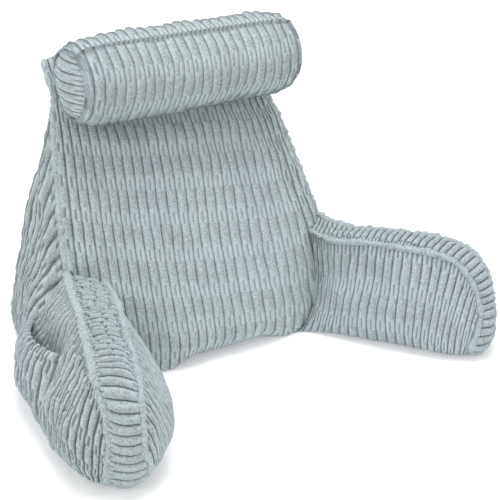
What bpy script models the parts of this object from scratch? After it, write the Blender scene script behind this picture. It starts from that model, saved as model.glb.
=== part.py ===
"""Reading pillow with arms: a filled back rest and two arms in one ribbed cover,
a neck roll across its top, and a phone pocket on the outside of the left arm.

The pillow stands on the floor and faces -Y, with its width along X. Every panel of
the cover is a grid of columns, and each column follows half of one rib from the
panel's upper seam to its lower seam, so the ribs are raised by moving every other
column out and the ones between them in.
"""
from math import radians

import bmesh
import bpy
import numpy as np
from mathutils import Matrix

# Ribs of the plush, counted in whole ribs. A rib is two columns wide.
COLUMNS_PER_RIB = 2
FRONT_RIBS = 26
ARM_TOP_ROOT_RIBS = 3       # front ribs that end on the top of each arm
CREASE_RIBS = 4             # front ribs that end in the crease beside each arm
SIDE_RIBS = 10              # ribs of a side panel that end on the back rest's edge
ARM_RIBS = 24               # ribs along an arm, from its root to its tip
RIB_RISE = 0.0016
RIB_STEEPNESS = 0.22        # most that a column is raised, as a share of its spacing

# Seam between the front and a side panel, from the rear top corner, over the top
# and down to the floor. Its last row is only reached by the front's own curve.
SIDE_SEAM = (
    # share, x, y, z
    (0.00, 0.146, 0.214, 0.390),
    (0.05, 0.166, 0.214, 0.414),
    (0.10, 0.175, 0.200, 0.414),
    (0.24, 0.180, 0.168, 0.350),
    (0.36, 0.192, 0.140, 0.300),
    (0.47, 0.202, 0.115, 0.250),
    (0.59, 0.211, 0.090, 0.200),
    (0.71, 0.219, 0.065, 0.148),
    (0.87, 0.224, 0.046, 0.060),
    (1.00, 0.226, 0.040, 0.000),
)

# Middle line of the front, at the same shares of its length.
FRONT_MIDDLE = (
    # share, y, z
    (0.00, 0.234, 0.402),
    (0.05, 0.223, 0.427),
    (0.10, 0.200, 0.431),
    (0.17, 0.166, 0.394),
    (0.24, 0.142, 0.352),
    (0.36, 0.107, 0.300),
    (0.47, 0.076, 0.250),
    (0.59, 0.043, 0.193),
    (0.71, 0.011, 0.133),
    (0.86, -0.019, 0.062),
    (0.94, -0.023, 0.025),
    (1.00, -0.004, 0.000),
)
FRONT_FLATNESS = 2.6        # how far the crown stays flat before it rounds off
FRONT_ROUNDING = 0.75
FRONT_SPREAD = 0.95         # radians of turn that space the ribs across the crown
ARM_TOP_SHARE = 0.71        # share of the front's length where an arm's top begins
CREASE_CURVE = 2.2          # how sharply the crease turns in near the floor

# Seams and floor lines of the two arms, from the back rest to the lower front of
# the tip. The filling is pushed in by hand, so the left arm is longer and fuller.
# Every x is measured towards the outside.
OUTER_SEAM = {
    "left": (
        # share, x, y, z
        (0.12, 0.236, 0.017, 0.152),
        (0.27, 0.257, -0.042, 0.157),
        (0.40, 0.274, -0.094, 0.160),
        (0.52, 0.291, -0.140, 0.160),
        (0.73, 0.321, -0.223, 0.156),
        (0.80, 0.330, -0.248, 0.150),
        (0.85, 0.332, -0.264, 0.137),
        (0.91, 0.329, -0.271, 0.110),
        (1.00, 0.327, -0.270, 0.068),
    ),
    "right": (
        (0.12, 0.226, 0.026, 0.143),
        (0.25, 0.240, -0.026, 0.146),
        (0.36, 0.262, -0.062, 0.150),
        (0.47, 0.282, -0.098, 0.153),
        (0.58, 0.302, -0.133, 0.154),
        (0.70, 0.316, -0.178, 0.150),
        (0.78, 0.323, -0.200, 0.138),
        (0.87, 0.328, -0.219, 0.112),
        (1.00, 0.324, -0.236, 0.068),
    ),
}
INNER_SEAM = {
    "left": (
        (0.09, 0.187, -0.012, 0.141),
        (0.25, 0.209, -0.073, 0.150),
        (0.39, 0.232, -0.130, 0.156),
        (0.52, 0.251, -0.178, 0.159),
        (0.68, 0.275, -0.244, 0.159),
        (0.77, 0.286, -0.275, 0.152),
        (0.84, 0.294, -0.294, 0.136),
        (0.91, 0.296, -0.302, 0.109),
        (1.00, 0.294, -0.298, 0.068),
    ),
    "right": (
        (0.15, 0.184, -0.024, 0.139),
        (0.29, 0.201, -0.070, 0.148),
        (0.38, 0.218, -0.096, 0.150),
        (0.50, 0.237, -0.131, 0.151),
        (0.62, 0.262, -0.166, 0.150),
        (0.73, 0.281, -0.198, 0.141),
        (0.80, 0.289, -0.215, 0.126),
        (0.90, 0.296, -0.231, 0.098),
        (1.00, 0.297, -0.241, 0.068),
    ),
}
OUTER_FLOOR = {
    "left": (
        # share, x, y
        (0.00, 0.232, 0.252),
        (0.10, 0.247, 0.200),
        (0.30, 0.276, 0.100),
        (0.47, 0.300, 0.010),
        (0.63, 0.319, -0.080),
        (0.79, 0.331, -0.165),
        (0.90, 0.335, -0.212),
        (0.95, 0.331, -0.235),
        (1.00, 0.318, -0.254),
    ),
    "right": (
        (0.00, 0.232, 0.252),
        (0.12, 0.248, 0.200),
        (0.34, 0.280, 0.100),
        (0.52, 0.304, 0.010),
        (0.70, 0.322, -0.080),
        (0.85, 0.329, -0.155),
        (0.94, 0.328, -0.198),
        (1.00, 0.316, -0.222),
    ),
}
INNER_FLOOR = {
    "left": (
        (0.20, 0.160, -0.046),
        (0.42, 0.202, -0.110),
        (0.62, 0.232, -0.168),
        (0.78, 0.254, -0.212),
        (0.90, 0.273, -0.240),
        (1.00, 0.290, -0.258),
    ),
    "right": (
        (0.20, 0.158, -0.050),
        (0.44, 0.200, -0.106),
        (0.64, 0.234, -0.156),
        (0.80, 0.256, -0.190),
        (0.91, 0.272, -0.214),
        (1.00, 0.288, -0.228),
    ),
}
SIDE_FLOOR_SHARE = 0.36     # share of the outer floor line under the back rest

# How far the filling pushes a panel out between its two seams.
OUTER_BULGE = (
    # share of the panel's columns, bulge
    (0.00, 0.000),
    (0.12, -0.002),
    (0.22, 0.010),
    (0.32, 0.026),
    (0.60, 0.032),
    (0.85, 0.030),
    (1.00, 0.010),
)
INNER_BULGE = (
    (0.00, 0.000),
    (0.20, 0.022),
    (0.50, 0.036),
    (0.80, 0.034),
    (1.00, 0.014),
)
INNER_FULLNESS = {"left": 1.15, "right": 0.80}
CREASE_FADE = 5             # how soon an arm's inside leaves the line of the crease
BACK_BULGE = 0.026
CORNER_BULGE = 0.004
CORNER_FADE = 6             # how soon the push at the rear corner dies out
BAND_CROWN = 0.008
BAND_ROUNDING = 0.8
BAND_ROOT_FADE = 8          # how soon an arm's top leaves the line of the front
REAR_FLOOR_Y = 0.252
REAR_FLOOR_X = 0.232
REAR_FLOOR_CROWN = 0.010
BULGE_LOW = 1.45            # above 1 the fullest place of a panel is low down
BULGE_FULL = 0.75
BACK_LOW = 0.80

# The sides are drawn in below the top corners of the back rest.
DRAW_IN = 0.150
DRAW_IN_Z = 0.355
DRAW_IN_ABOVE = 0.035
DRAW_IN_BELOW = 0.125
DRAW_IN_Y = 0.165
DRAW_IN_DEPTH = 0.035

# Neck roll.
ROLL_Y = 0.113
ROLL_Z = 0.406
ROLL_SHIFT_X = 0.004
ROLL_RADIUS = 0.0645
ROLL_RIBS = 20
ROLL_SIDES = 28
ROLL_PROFILE = (
    # distance from the middle, radius
    (0.0000, 0.0645),
    (0.0900, 0.0640),
    (0.1500, 0.0622),
    (0.1670, 0.0598),
    (0.1745, 0.0560),
    (0.1765, 0.0515),
)
ROLL_SEAM_RADIUS = 0.0515
ROLL_END_DOME = 0.006
ROLL_END_STEPS = 4
ROLL_CLEARANCE = 0.0042

# Phone pocket on the outside of the left arm, in columns and rows of that panel.
# Its mouth drops from the front end and then slants down to the rear end.
POCKET_REAR_COLUMN = 19
POCKET_FRONT_COLUMN = 45
POCKET_REAR_LIP = 3.7
POCKET_FRONT_LIP = 0.6
POCKET_LIP_SAG = 0.26
POCKET_BOTTOM = 7.3
POCKET_STEPS = 7
MOUTH_LEAN = 1.4            # above 1 the mouth is widest nearer its front end
MOUTH_ROUNDING = 0.6
POCKET_GAPE = 0.0150
POCKET_THICKNESS = 0.0040
POCKET_SINK = 0.0040        # how far the arm gives way behind the whole pocket
POCKET_MOUTH_SINK = 0.0080
SINK_MARGIN = 3             # columns beside the pocket over which the arm gives way
SINK_ABOVE = 1.5            # rows above its lip

BODY_COLOUR = (0.42, 0.48, 0.49, 1.0)
ROLL_COLOUR = (0.44, 0.50, 0.51, 1.0)
POCKET_COLOUR = (0.40, 0.46, 0.49, 1.0)
CLOTH_ROUGHNESS = 0.92
SHARP_ANGLE = radians(50.0)
WELD = 1.0e-5


def remove_old_objects():
    for old in list(bpy.data.objects):
        bpy.data.objects.remove(old, do_unlink=True)


def smooth_curve(rows, shares):
    """Points at the given shares of a smooth curve through rows of (share, values)."""
    rows = np.asarray(rows, float)
    knots = rows[:, 0]
    values = rows[:, 1:]
    slopes = np.gradient(values, knots, axis=0)
    shares = np.clip(np.atleast_1d(shares), knots[0], knots[-1])
    left = np.clip(np.searchsorted(knots, shares, side="right") - 1, 0, len(knots) - 2)
    width = (knots[left + 1] - knots[left])[:, None]
    f = (shares[:, None] - knots[left][:, None]) / width
    start = (2 * f ** 3 - 3 * f ** 2 + 1) * values[left]
    leave = (f ** 3 - 2 * f ** 2 + f) * width * slopes[left]
    end = (3 * f ** 2 - 2 * f ** 3) * values[left + 1]
    arrive = (f ** 3 - f ** 2) * width * slopes[left + 1]
    return start + leave + end + arrive


def bulge_shape(share, low=BULGE_LOW):
    """0 at both seams of a panel and 1 at its fullest place."""
    share = np.clip(share, 0.0, 1.0)
    return np.sin(np.pi * share ** low).clip(0.0) ** BULGE_FULL


def front_points(across, share):
    """Points of the front panel: across is -1 to 1, share runs from the top down."""
    across, share = np.broadcast_arrays(np.asarray(across, float), np.asarray(share, float))
    side = smooth_curve(SIDE_SEAM, share.ravel()).reshape(share.shape + (3,))
    middle = smooth_curve(FRONT_MIDDLE, share.ravel()).reshape(share.shape + (2,))
    crown = (1.0 - np.abs(across) ** FRONT_FLATNESS) ** FRONT_ROUNDING
    x = side[..., 0] * np.sin(across * FRONT_SPREAD) / np.sin(FRONT_SPREAD)
    y = side[..., 1] + (middle[..., 0] - side[..., 1]) * crown
    z = side[..., 2] + (middle[..., 1] - side[..., 2]) * crown
    return np.stack([x, y, z], axis=-1)


FRONT_COLUMNS = FRONT_RIBS * COLUMNS_PER_RIB
ROOT_COLUMNS = ARM_TOP_ROOT_RIBS * COLUMNS_PER_RIB
PANEL_ROWS = CREASE_RIBS * COLUMNS_PER_RIB
SIDE_COLUMNS = SIDE_RIBS * COLUMNS_PER_RIB
ARM_COLUMNS = ARM_RIBS * COLUMNS_PER_RIB
ACROSS = np.linspace(-1.0, 1.0, FRONT_COLUMNS + 1)
ROOT_ACROSS = 1.0 - 2.0 * ROOT_COLUMNS / FRONT_COLUMNS
CREASE_ACROSS = 1.0 - 2.0 * (ROOT_COLUMNS + PANEL_ROWS) / FRONT_COLUMNS


def front_end_share(across):
    """Share of the front's length at which the column at this place ends."""
    along_crease = (np.abs(across) - CREASE_ACROSS) / (ROOT_ACROSS - CREASE_ACROSS)
    along_crease = np.clip(along_crease, 0.0, 1.0)
    return 1.0 - (1.0 - ARM_TOP_SHARE) * along_crease ** CREASE_CURVE


def front_panel():
    steps = np.linspace(0.0, 1.0, SIDE_COLUMNS + 1)
    share = front_end_share(ACROSS)[:, None] * steps[None, :]
    return front_points(ACROSS[:, None], share)


def outward(line):
    """Level direction that points away from the middle, square to a floor line."""
    along = np.gradient(line, axis=0)
    square = np.stack([-along[:, 1], along[:, 0], np.zeros(len(line))], axis=-1)
    return square / np.linalg.norm(square, axis=1, keepdims=True)


def columns_between(tops, bottoms, push, bulge, low=BULGE_LOW):
    """A panel's grid: straight columns that bulge along push by their own amount."""
    share = np.linspace(0.0, 1.0, PANEL_ROWS + 1)[None, :, None]
    grid = tops[:, None, :] * (1.0 - share) + bottoms[:, None, :] * share
    return grid + push[:, None, :] * bulge[:, None, None] * bulge_shape(share, low)


def outer_panel(side):
    """Side of the back rest and outside of the arm, in one piece."""
    edge = front_points(1.0, ARM_TOP_SHARE * np.linspace(0.0, 1.0, SIDE_COLUMNS + 1))
    seam_rows = ((0.0,) + tuple(edge[-1]),) + OUTER_SEAM[side]
    along_arm = np.linspace(0.0, 1.0, ARM_COLUMNS + 1)[1:]
    seam = smooth_curve(seam_rows, along_arm)
    tops = np.concatenate([edge, seam])
    under_side = np.linspace(0.0, SIDE_FLOOR_SHARE, SIDE_COLUMNS + 1)
    under_arm = np.linspace(SIDE_FLOOR_SHARE, 1.0, ARM_COLUMNS + 1)[1:]
    floor = smooth_curve(OUTER_FLOOR[side], np.concatenate([under_side, under_arm]))
    bottoms = np.concatenate([floor, np.zeros((len(floor), 1))], axis=1)
    share = np.linspace(0.0, 1.0, len(tops))
    bulge = smooth_curve(OUTER_BULGE, share)[:, 0]
    grid = columns_between(tops, bottoms, outward(bottoms), bulge)
    return grid + corner_push(1.0 - share)


def corner_push(nearness):
    """The filling also pushes the rear corner seam out a little."""
    rows = bulge_shape(np.linspace(0.0, 1.0, PANEL_ROWS + 1))
    direction = np.array([CORNER_BULGE, CORNER_BULGE, 0.0])
    near = np.clip(nearness, 0.0, 1.0) ** CORNER_FADE
    return near[:, None, None] * rows[None, :, None] * direction


def back_panel():
    tops = front_points(ACROSS, 0.0)
    x = REAR_FLOOR_X * np.sin(ACROSS * FRONT_SPREAD) / np.sin(FRONT_SPREAD)
    y = REAR_FLOOR_Y + REAR_FLOOR_CROWN * (1.0 - ACROSS ** 2)
    bottoms = np.stack([x, y, np.zeros(len(x))], axis=-1)
    push = np.tile([0.0, 1.0, 0.0], (len(x), 1))
    crown = (1.0 - np.abs(ACROSS) ** FRONT_FLATNESS) ** FRONT_ROUNDING
    grid = columns_between(tops, bottoms, push, BACK_BULGE * crown, BACK_LOW)
    right = corner_push(ACROSS)
    left = corner_push(-ACROSS) * np.array([-1.0, 1.0, 1.0])
    return grid + right + left


def inner_panel(side):
    """Inside of an arm. Its first column is the crease beside the front panel."""
    crease_across = np.linspace(ROOT_ACROSS, CREASE_ACROSS, PANEL_ROWS + 1)
    crease = front_points(crease_across, front_end_share(crease_across))
    seam_rows = ((0.0,) + tuple(crease[0]),) + INNER_SEAM[side]
    floor_rows = ((0.0,) + tuple(crease[-1][:2]),) + INNER_FLOOR[side]
    share = np.linspace(0.0, 1.0, ARM_COLUMNS + 1)
    tops = smooth_curve(seam_rows, share)
    floor = smooth_curve(floor_rows, share)
    bottoms = np.concatenate([floor, np.zeros((len(floor), 1))], axis=1)
    bulge = INNER_FULLNESS[side] * smooth_curve(INNER_BULGE, share)[:, 0]
    grid = columns_between(tops, bottoms, -outward(bottoms), bulge)
    to_crease = (crease - grid[0])[None, :, :]
    return grid + to_crease * ((1.0 - share) ** CREASE_FADE)[:, None, None]


def band_panel(outer, inner):
    """Top of an arm, which runs on over the tip and down to the floor."""
    outer_line = np.concatenate([outer[SIDE_COLUMNS:, 0], outer[-1, 1:]])
    inner_line = np.concatenate([inner[:, 0], inner[-1, 1:]])
    share = np.linspace(0.0, 1.0, ROOT_COLUMNS + 1)[None, :, None]
    grid = outer_line[:, None] * (1.0 - share) + inner_line[:, None] * share
    along = np.gradient(0.5 * (outer_line + inner_line), axis=0)
    up = np.cross(inner_line - outer_line, along)
    up /= np.linalg.norm(up, axis=1, keepdims=True)
    up[-1, 2] = 0.0
    grid = grid + up[:, None] * BAND_CROWN * np.sin(np.pi * share) ** BAND_ROUNDING
    root_across = np.linspace(1.0, ROOT_ACROSS, ROOT_COLUMNS + 1)
    root = front_points(root_across, front_end_share(root_across))
    fade = (1.0 - np.linspace(0.0, 1.0, len(grid))) ** BAND_ROOT_FADE
    grid = grid + (root - grid[0])[None] * fade[:, None, None]
    grid[-1, :, 2] = 0.0
    return grid


def panel_normals(grid):
    across = np.gradient(grid, axis=0)
    along = np.gradient(grid, axis=1)
    normal = np.cross(across, along)
    return normal / np.linalg.norm(normal, axis=-1, keepdims=True)


def raise_ribs(grid, outside):
    """Every other column out, the ones between in; the seams stay where they are."""
    spacing = np.linalg.norm(np.gradient(grid, axis=0), axis=-1)
    rise = np.minimum(RIB_RISE, RIB_STEEPNESS * spacing)
    turn = np.where(np.arange(len(grid)) % 2 == 1, 1.0, -1.0)[:, None]
    height = rise * turn
    height[0] = 0.0
    height[-1] = 0.0
    height[:, 0] = 0.0
    height[:, -1] = 0.0
    return grid + panel_normals(grid) * (outside * height)[..., None]


def draw_in(grid):
    """The sides narrow behind the front seam, below the top corners."""
    above = grid[..., 2] - DRAW_IN_Z
    height = np.exp(-(above / np.where(above > 0.0, DRAW_IN_ABOVE, DRAW_IN_BELOW)) ** 2)
    depth = np.clip((grid[..., 1] - DRAW_IN_Y) / DRAW_IN_DEPTH, 0.0, 1.0)
    drawn = grid.copy()
    drawn[..., 0] *= 1.0 - DRAW_IN * height * depth ** 2 * (3.0 - 2.0 * depth)
    return drawn


def clear_of_roll(grid):
    """The front gives way behind the neck roll."""
    y = grid[..., 1] - ROLL_Y
    z = grid[..., 2] - ROLL_Z
    distance = np.hypot(y, z)
    wanted = ROLL_RADIUS + ROLL_CLEARANCE
    scale = np.where(distance < wanted, wanted / distance, 1.0)
    cleared = grid.copy()
    cleared[..., 1] = ROLL_Y + y * scale
    cleared[..., 2] = ROLL_Z + z * scale
    return cleared


def lip_row(column):
    """Row of the outer panel at which the pocket's mouth crosses a column."""
    share = (POCKET_FRONT_COLUMN - column) / (POCKET_FRONT_COLUMN - POCKET_REAR_COLUMN)
    fall = np.clip(share, 0.0, 1.0) ** POCKET_LIP_SAG
    return POCKET_FRONT_LIP + (POCKET_REAR_LIP - POCKET_FRONT_LIP) * fall


def mouth_shape(column, row):
    """1 in the middle of the pocket's lip, 0 along its sewn sides and bottom."""
    share = (column - POCKET_REAR_COLUMN) / (POCKET_FRONT_COLUMN - POCKET_REAR_COLUMN)
    across = np.sin(np.pi * np.clip(share, 0.0, 1.0) ** MOUTH_LEAN).clip(0.0) ** MOUTH_ROUNDING
    down = (row - lip_row(column)) / (POCKET_BOTTOM - lip_row(column))
    return across * (1.0 - np.clip(np.abs(down), 0.0, 1.0) ** 2)


def sink_behind_pocket(outer):
    """The filling gives way behind the pocket, and most behind its mouth."""
    column, row = np.meshgrid(np.arange(outer.shape[0]), np.arange(outer.shape[1]), indexing="ij")
    past_ends = np.maximum(POCKET_REAR_COLUMN - column, column - POCKET_FRONT_COLUMN)
    beside = np.clip((SINK_MARGIN - past_ends) / COLUMNS_PER_RIB, 0.0, 1.0)
    above = np.clip((row - lip_row(column)) / SINK_ABOVE + 1.0, 0.0, 1.0) * np.clip(row, 0.0, 1.0)
    below = np.clip(PANEL_ROWS - row, 0.0, 1.0)
    depth = POCKET_SINK + POCKET_MOUTH_SINK * mouth_shape(column, row)
    return outer - panel_normals(outer) * (beside * above * below * depth)[..., None]


def pocket_grid(outer):
    """Points of the arm under the pocket and their outward directions."""
    columns = np.arange(POCKET_REAR_COLUMN, POCKET_FRONT_COLUMN + 1)[:, None]
    share = np.linspace(0.0, 1.0, POCKET_STEPS + 1)[None, :]
    rows = lip_row(columns) + (POCKET_BOTTOM - lip_row(columns)) * share
    whole = np.floor(rows).astype(int)
    part = (rows - whole)[..., None]
    normals = panel_normals(outer)
    points = outer[columns, whole] * (1.0 - part) + outer[columns, whole + 1] * part
    out = normals[columns, whole] * (1.0 - part) + normals[columns, whole + 1] * part
    return points, out, mouth_shape(columns, rows)


def mirrored(grid):
    return grid * np.array([-1.0, 1.0, 1.0])


def add_grid(bm, grid):
    columns, rows = grid.shape[:2]
    verts = [[bm.verts.new(grid[i, j]) for j in range(rows)] for i in range(columns)]
    for i in range(columns - 1):
        for j in range(rows - 1):
            bm.faces.new((verts[i][j], verts[i + 1][j], verts[i + 1][j + 1], verts[i][j + 1]))


def close_base(bm):
    """One flat base inside the line where the panels reach the floor."""
    open_edges = [edge for edge in bm.edges if edge.is_boundary]
    bmesh.ops.triangle_fill(bm, use_beauty=True, edges=open_edges, normal=(0.0, 0.0, -1.0))


def finish_object(name, bm, collection, material):
    bmesh.ops.recalc_face_normals(bm, faces=bm.faces)
    mesh = bpy.data.meshes.new(name)
    bm.to_mesh(mesh)
    bm.free()
    mesh.shade_smooth()
    mesh.set_sharp_from_angle(angle=SHARP_ANGLE)
    mesh.materials.append(material)
    part = bpy.data.objects.new(name, mesh)
    collection.objects.link(part)
    return part


def plush(name, colour):
    material = bpy.data.materials.new(name)
    material.use_nodes = True
    shader = material.node_tree.nodes["Principled BSDF"]
    shader.inputs["Base Color"].default_value = colour
    shader.inputs["Roughness"].default_value = CLOTH_ROUGHNESS
    shader.inputs["Metallic"].default_value = 0.0
    return material


def make_body(collection):
    bm = bmesh.new()
    add_grid(bm, draw_in(clear_of_roll(raise_ribs(front_panel(), -1.0))))
    add_grid(bm, draw_in(raise_ribs(back_panel(), 1.0)))
    for side in ("left", "right"):
        outer = outer_panel(side)
        inner = inner_panel(side)
        band = band_panel(outer, inner)
        outer = raise_ribs(outer, 1.0)
        if side == "left":
            outer = sink_behind_pocket(outer)
        panels = [outer, raise_ribs(inner, -1.0), raise_ribs(band, -1.0)]
        for grid in panels:
            add_grid(bm, draw_in(mirrored(grid) if side == "left" else grid))
    bmesh.ops.remove_doubles(bm, verts=bm.verts, dist=WELD)
    close_base(bm)
    return finish_object("pillow_body", bm, collection, plush("body_plush", BODY_COLOUR))


def make_pocket(collection):
    """A patch that is sewn to the arm on three sides and open at its upper edge."""
    points, out, mouth = pocket_grid(raise_ribs(outer_panel("left"), 1.0))
    lining = points + out * (POCKET_GAPE * mouth)[..., None]
    face = points + out * (POCKET_GAPE * mouth + POCKET_THICKNESS)[..., None]
    lining = mirrored(lining)
    face = mirrored(face)
    bm = bmesh.new()
    add_grid(bm, lining)
    add_grid(bm, face)
    for edge in (np.s_[0, :], np.s_[-1, :], np.s_[:, 0], np.s_[:, -1]):
        add_grid(bm, np.stack([lining[edge], face[edge]], axis=1))
    bmesh.ops.remove_doubles(bm, verts=bm.verts, dist=WELD)
    return finish_object("phone_pocket", bm, collection, plush("pocket_plush", POCKET_COLOUR))


def roll_ring(x, radius):
    angle = np.linspace(0.0, 2.0 * np.pi, ROLL_SIDES + 1)
    ring = np.stack([np.full(len(angle), x), radius * np.sin(angle), radius * np.cos(angle)], axis=-1)
    ring[-1] = ring[0]
    return ring + np.array([ROLL_SHIFT_X, ROLL_Y, ROLL_Z])


def roll_tube():
    """The roll's long cover, whose ribs run round it."""
    half = ROLL_PROFILE[-1][0]
    stations = np.linspace(-half, half, ROLL_RIBS * COLUMNS_PER_RIB + 1)
    radii = smooth_curve(ROLL_PROFILE, np.abs(stations))[:, 0]
    turn = np.where(np.arange(len(stations)) % 2 == 1, 0.0, -1.0)
    turn[0] = 0.0
    turn[-1] = 0.0
    radii = radii + 2.0 * RIB_RISE * turn
    return np.stack([roll_ring(x, r) for x, r in zip(stations, radii)])


def roll_end(sign):
    """A round end piece with level ribs: a strip between each two level chords."""
    half = ROLL_PROFILE[-1][0]
    rim = roll_ring(sign * half, ROLL_SEAM_RADIUS)
    chords = []
    for k in range(1, ROLL_SIDES // 2):
        left = rim[ROLL_SIDES - k]
        right = rim[k]
        share = np.linspace(0.0, 1.0, ROLL_END_STEPS + 1)[:, None]
        chord = left * (1.0 - share) + right * share
        from_middle = np.hypot(chord[:, 1] - ROLL_Y, chord[:, 2] - ROLL_Z) / ROLL_SEAM_RADIUS
        rise = RIB_RISE if k % 2 == 1 else -RIB_RISE
        inside = np.ones(ROLL_END_STEPS + 1)
        inside[[0, -1]] = 0.0
        chord[:, 0] += sign * inside * (ROLL_END_DOME * (1.0 - from_middle ** 2) + rise)
        chords.append(chord)
    return rim, np.stack(chords)


def add_roll_end(bm, sign):
    rim, chords = roll_end(sign)
    add_grid(bm, chords)
    for pole, chord in ((rim[0], chords[0]), (rim[ROLL_SIDES // 2], chords[-1])):
        tip = bm.verts.new(pole)
        verts = [bm.verts.new(point) for point in chord]
        for first, second in zip(verts, verts[1:]):
            bm.faces.new((tip, first, second))


def make_roll(collection):
    bm = bmesh.new()
    add_grid(bm, roll_tube())
    add_roll_end(bm, -1.0)
    add_roll_end(bm, 1.0)
    bmesh.ops.remove_doubles(bm, verts=bm.verts, dist=WELD)
    return finish_object("neck_roll", bm, collection, plush("roll_plush", ROLL_COLOUR))


def centre_on_floor(parts):
    """Moves the parts level, so that the middle of their common box is at x = y = 0."""
    points = np.array([vert.co for part in parts for vert in part.data.vertices])
    middle = 0.5 * (points.min(axis=0) + points.max(axis=0))
    move = Matrix.Translation((-middle[0], -middle[1], 0.0))
    for part in parts:
        part.data.transform(move)


remove_old_objects()
pillow = bpy.data.collections.new("reading_pillow")
bpy.context.scene.collection.children.link(pillow)
centre_on_floor([make_body(pillow), make_roll(pillow), make_pocket(pillow)])
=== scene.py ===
"""Reading pillow with arms: a filled back rest and two arms in a cover of ribbed plush,
with a neck roll across its top and an open phone pocket on the outside of its left arm.

Every panel of the cover is a grid whose first axis counts ribs across the cloth and whose
second axis runs along the ribs, so the plush is raised on it by one function. The plan's
sizes are in metres, with the pillow facing -Y.
"""

from math import pi

import bpy
import numpy as np
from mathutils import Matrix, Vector


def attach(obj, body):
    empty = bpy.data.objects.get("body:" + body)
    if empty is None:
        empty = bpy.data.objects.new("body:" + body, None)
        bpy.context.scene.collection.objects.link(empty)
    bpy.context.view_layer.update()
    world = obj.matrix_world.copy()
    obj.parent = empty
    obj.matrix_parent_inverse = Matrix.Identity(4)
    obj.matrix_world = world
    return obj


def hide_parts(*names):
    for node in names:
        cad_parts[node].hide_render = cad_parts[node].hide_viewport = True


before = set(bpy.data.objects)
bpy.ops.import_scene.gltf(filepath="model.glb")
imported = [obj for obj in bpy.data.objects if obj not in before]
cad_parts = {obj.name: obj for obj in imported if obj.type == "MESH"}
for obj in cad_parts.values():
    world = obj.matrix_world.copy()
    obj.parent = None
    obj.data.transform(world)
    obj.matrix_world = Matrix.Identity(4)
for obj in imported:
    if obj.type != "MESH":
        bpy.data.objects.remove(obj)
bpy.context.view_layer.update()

# ---------------------------------------------------------------------------------------
# Front of the back rest: one panel of ribbed plush from the rear top edge, over the top
# and down to the floor, pushed out by loose filling. Of the plan's ribs, three at each side
# end on the top of an arm, and the next four in the crease beside it.
# ---------------------------------------------------------------------------------------
PLAN_TO_FRAME = np.array([0.0025, 0.0132, 0.0])
FRONT_RIBS = 26             # ribs in the plan, by which places across are counted
ARM_TOP_ROOT_RIBS = 3
CREASE_RIBS = 4
SIDE_SEAM = (
    # share, x, y, z
    (0.00, 0.146, 0.214, 0.390),
    (0.05, 0.166, 0.214, 0.414),
    (0.10, 0.175, 0.200, 0.414),
    (0.24, 0.180, 0.168, 0.350),
    (0.36, 0.192, 0.140, 0.300),
    (0.47, 0.202, 0.115, 0.250),
    (0.59, 0.211, 0.090, 0.200),
    (0.71, 0.219, 0.065, 0.148),
    (0.87, 0.224, 0.046, 0.060),
    (1.00, 0.226, 0.040, 0.000),
)
FRONT_MIDDLE = (
    # share, y, z
    (0.00, 0.234, 0.402),
    (0.05, 0.223, 0.427),
    (0.10, 0.200, 0.431),
    (0.17, 0.166, 0.394),
    (0.24, 0.139, 0.352),
    (0.36, 0.099, 0.300),
    (0.47, 0.066, 0.250),
    (0.59, 0.031, 0.193),
    (0.71, -0.003, 0.133),
    (0.84, -0.030, 0.068),
    (0.93, -0.036, 0.028),
    (1.00, -0.032, 0.000),
)
FRONT_FLATNESS = 2.4
FRONT_ROUNDING = 0.80
FRONT_SPREAD = 0.95
ARM_TOP_SHARE = 0.71
CREASE_CURVE = 2.2
FRONT_ROWS = 230
FRONT_LINES = 27            # ribs which the panel has in all, with some gathered at its sides
RIB_SPREAD = 0.213          # half the width of the panel, measured across its ribs
MOST_GATHERED = 1.4
RIB_LEAN = 0.17             # how far the ribs near the middle lean to the left on their way down
LEAN_FROM = 0.20
LEAN_TO = 0.80
FRONT_LENGTH = 0.585
BLOCK_TILT = 0.15           # the rows of blocks are out of level, as the ribs lean
FRONT_SPLIT_AT = -0.0053
FRONT_SWAY = 0.0006
FRONT_RISE = 0.0033
FRONT_RIB_FLATNESS = 5.0
FRONT_CRUMPLE = 0.03
RIGHT_CRUMPLE = 0.40        # the cloth is more crumpled at the panel's sides and low down
RIGHT_CRUMPLE_SPAN = (0.55, 0.90)
LEFT_CRUMPLE = 0.22
LEFT_CRUMPLE_SPAN = (0.72, 1.0)
LOW_CRUMPLE = 0.06
LOW_CRUMPLE_Z = 0.07
FRONT_PASSES = 20           # in which the length of its ribs is settled
ROOT_ACROSS = 1.0 - 2.0 * ARM_TOP_ROOT_RIBS / FRONT_RIBS
CREASE_ACROSS = 1.0 - 2.0 * (ARM_TOP_ROOT_RIBS + CREASE_RIBS) / FRONT_RIBS

# Places across a rib at which the cloth has points: close together in its groove and at
# its middle, where split ribs have a second groove.
RIB_STEPS = np.array([0.0, 0.06, 0.14, 0.28, 0.42, 0.50, 0.58, 0.72, 0.86, 0.94])
RIB_PITCH = 0.016
RIB_RISE = 0.0046
RIB_BASE = -0.0014
RIB_ROUNDING = 0.65
STEEPEST_RISE = 0.45        # most that a rib may rise, as a share of its pitch
TUFT_SIZE = 0.0055
TUFT_RISE = 0.08
TUFT_WAVES = 20

# Along a rib, stretches that are split in two take turns with whole blocks. Heights of the
# pile are shares of a rib's rise.
BLOCK_REPEAT = 0.0559
BLOCK_SHIFT = 0.0006
SPLIT_LENGTH = 0.0185
SPLIT_START = 0.0020
SPLIT_END = 0.0012
SPLIT_FALL = 0.20
SPLIT_DEPTH = 0.30
SPLIT_GROOVE = 0.075        # half width of the groove in a split rib, as a share of its pitch
SPLIT_FILLING = 0.30        # how much shallower the grooves beside it are
TIP_LENGTH = 0.0030
TIP_FALL = 0.15
PIECE_LENGTH = 0.019
PIECE_STAGGER = 0.004
PIECE_CUT = 0.0017
PIECE_CUT_DEPTH = 0.66

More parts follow.
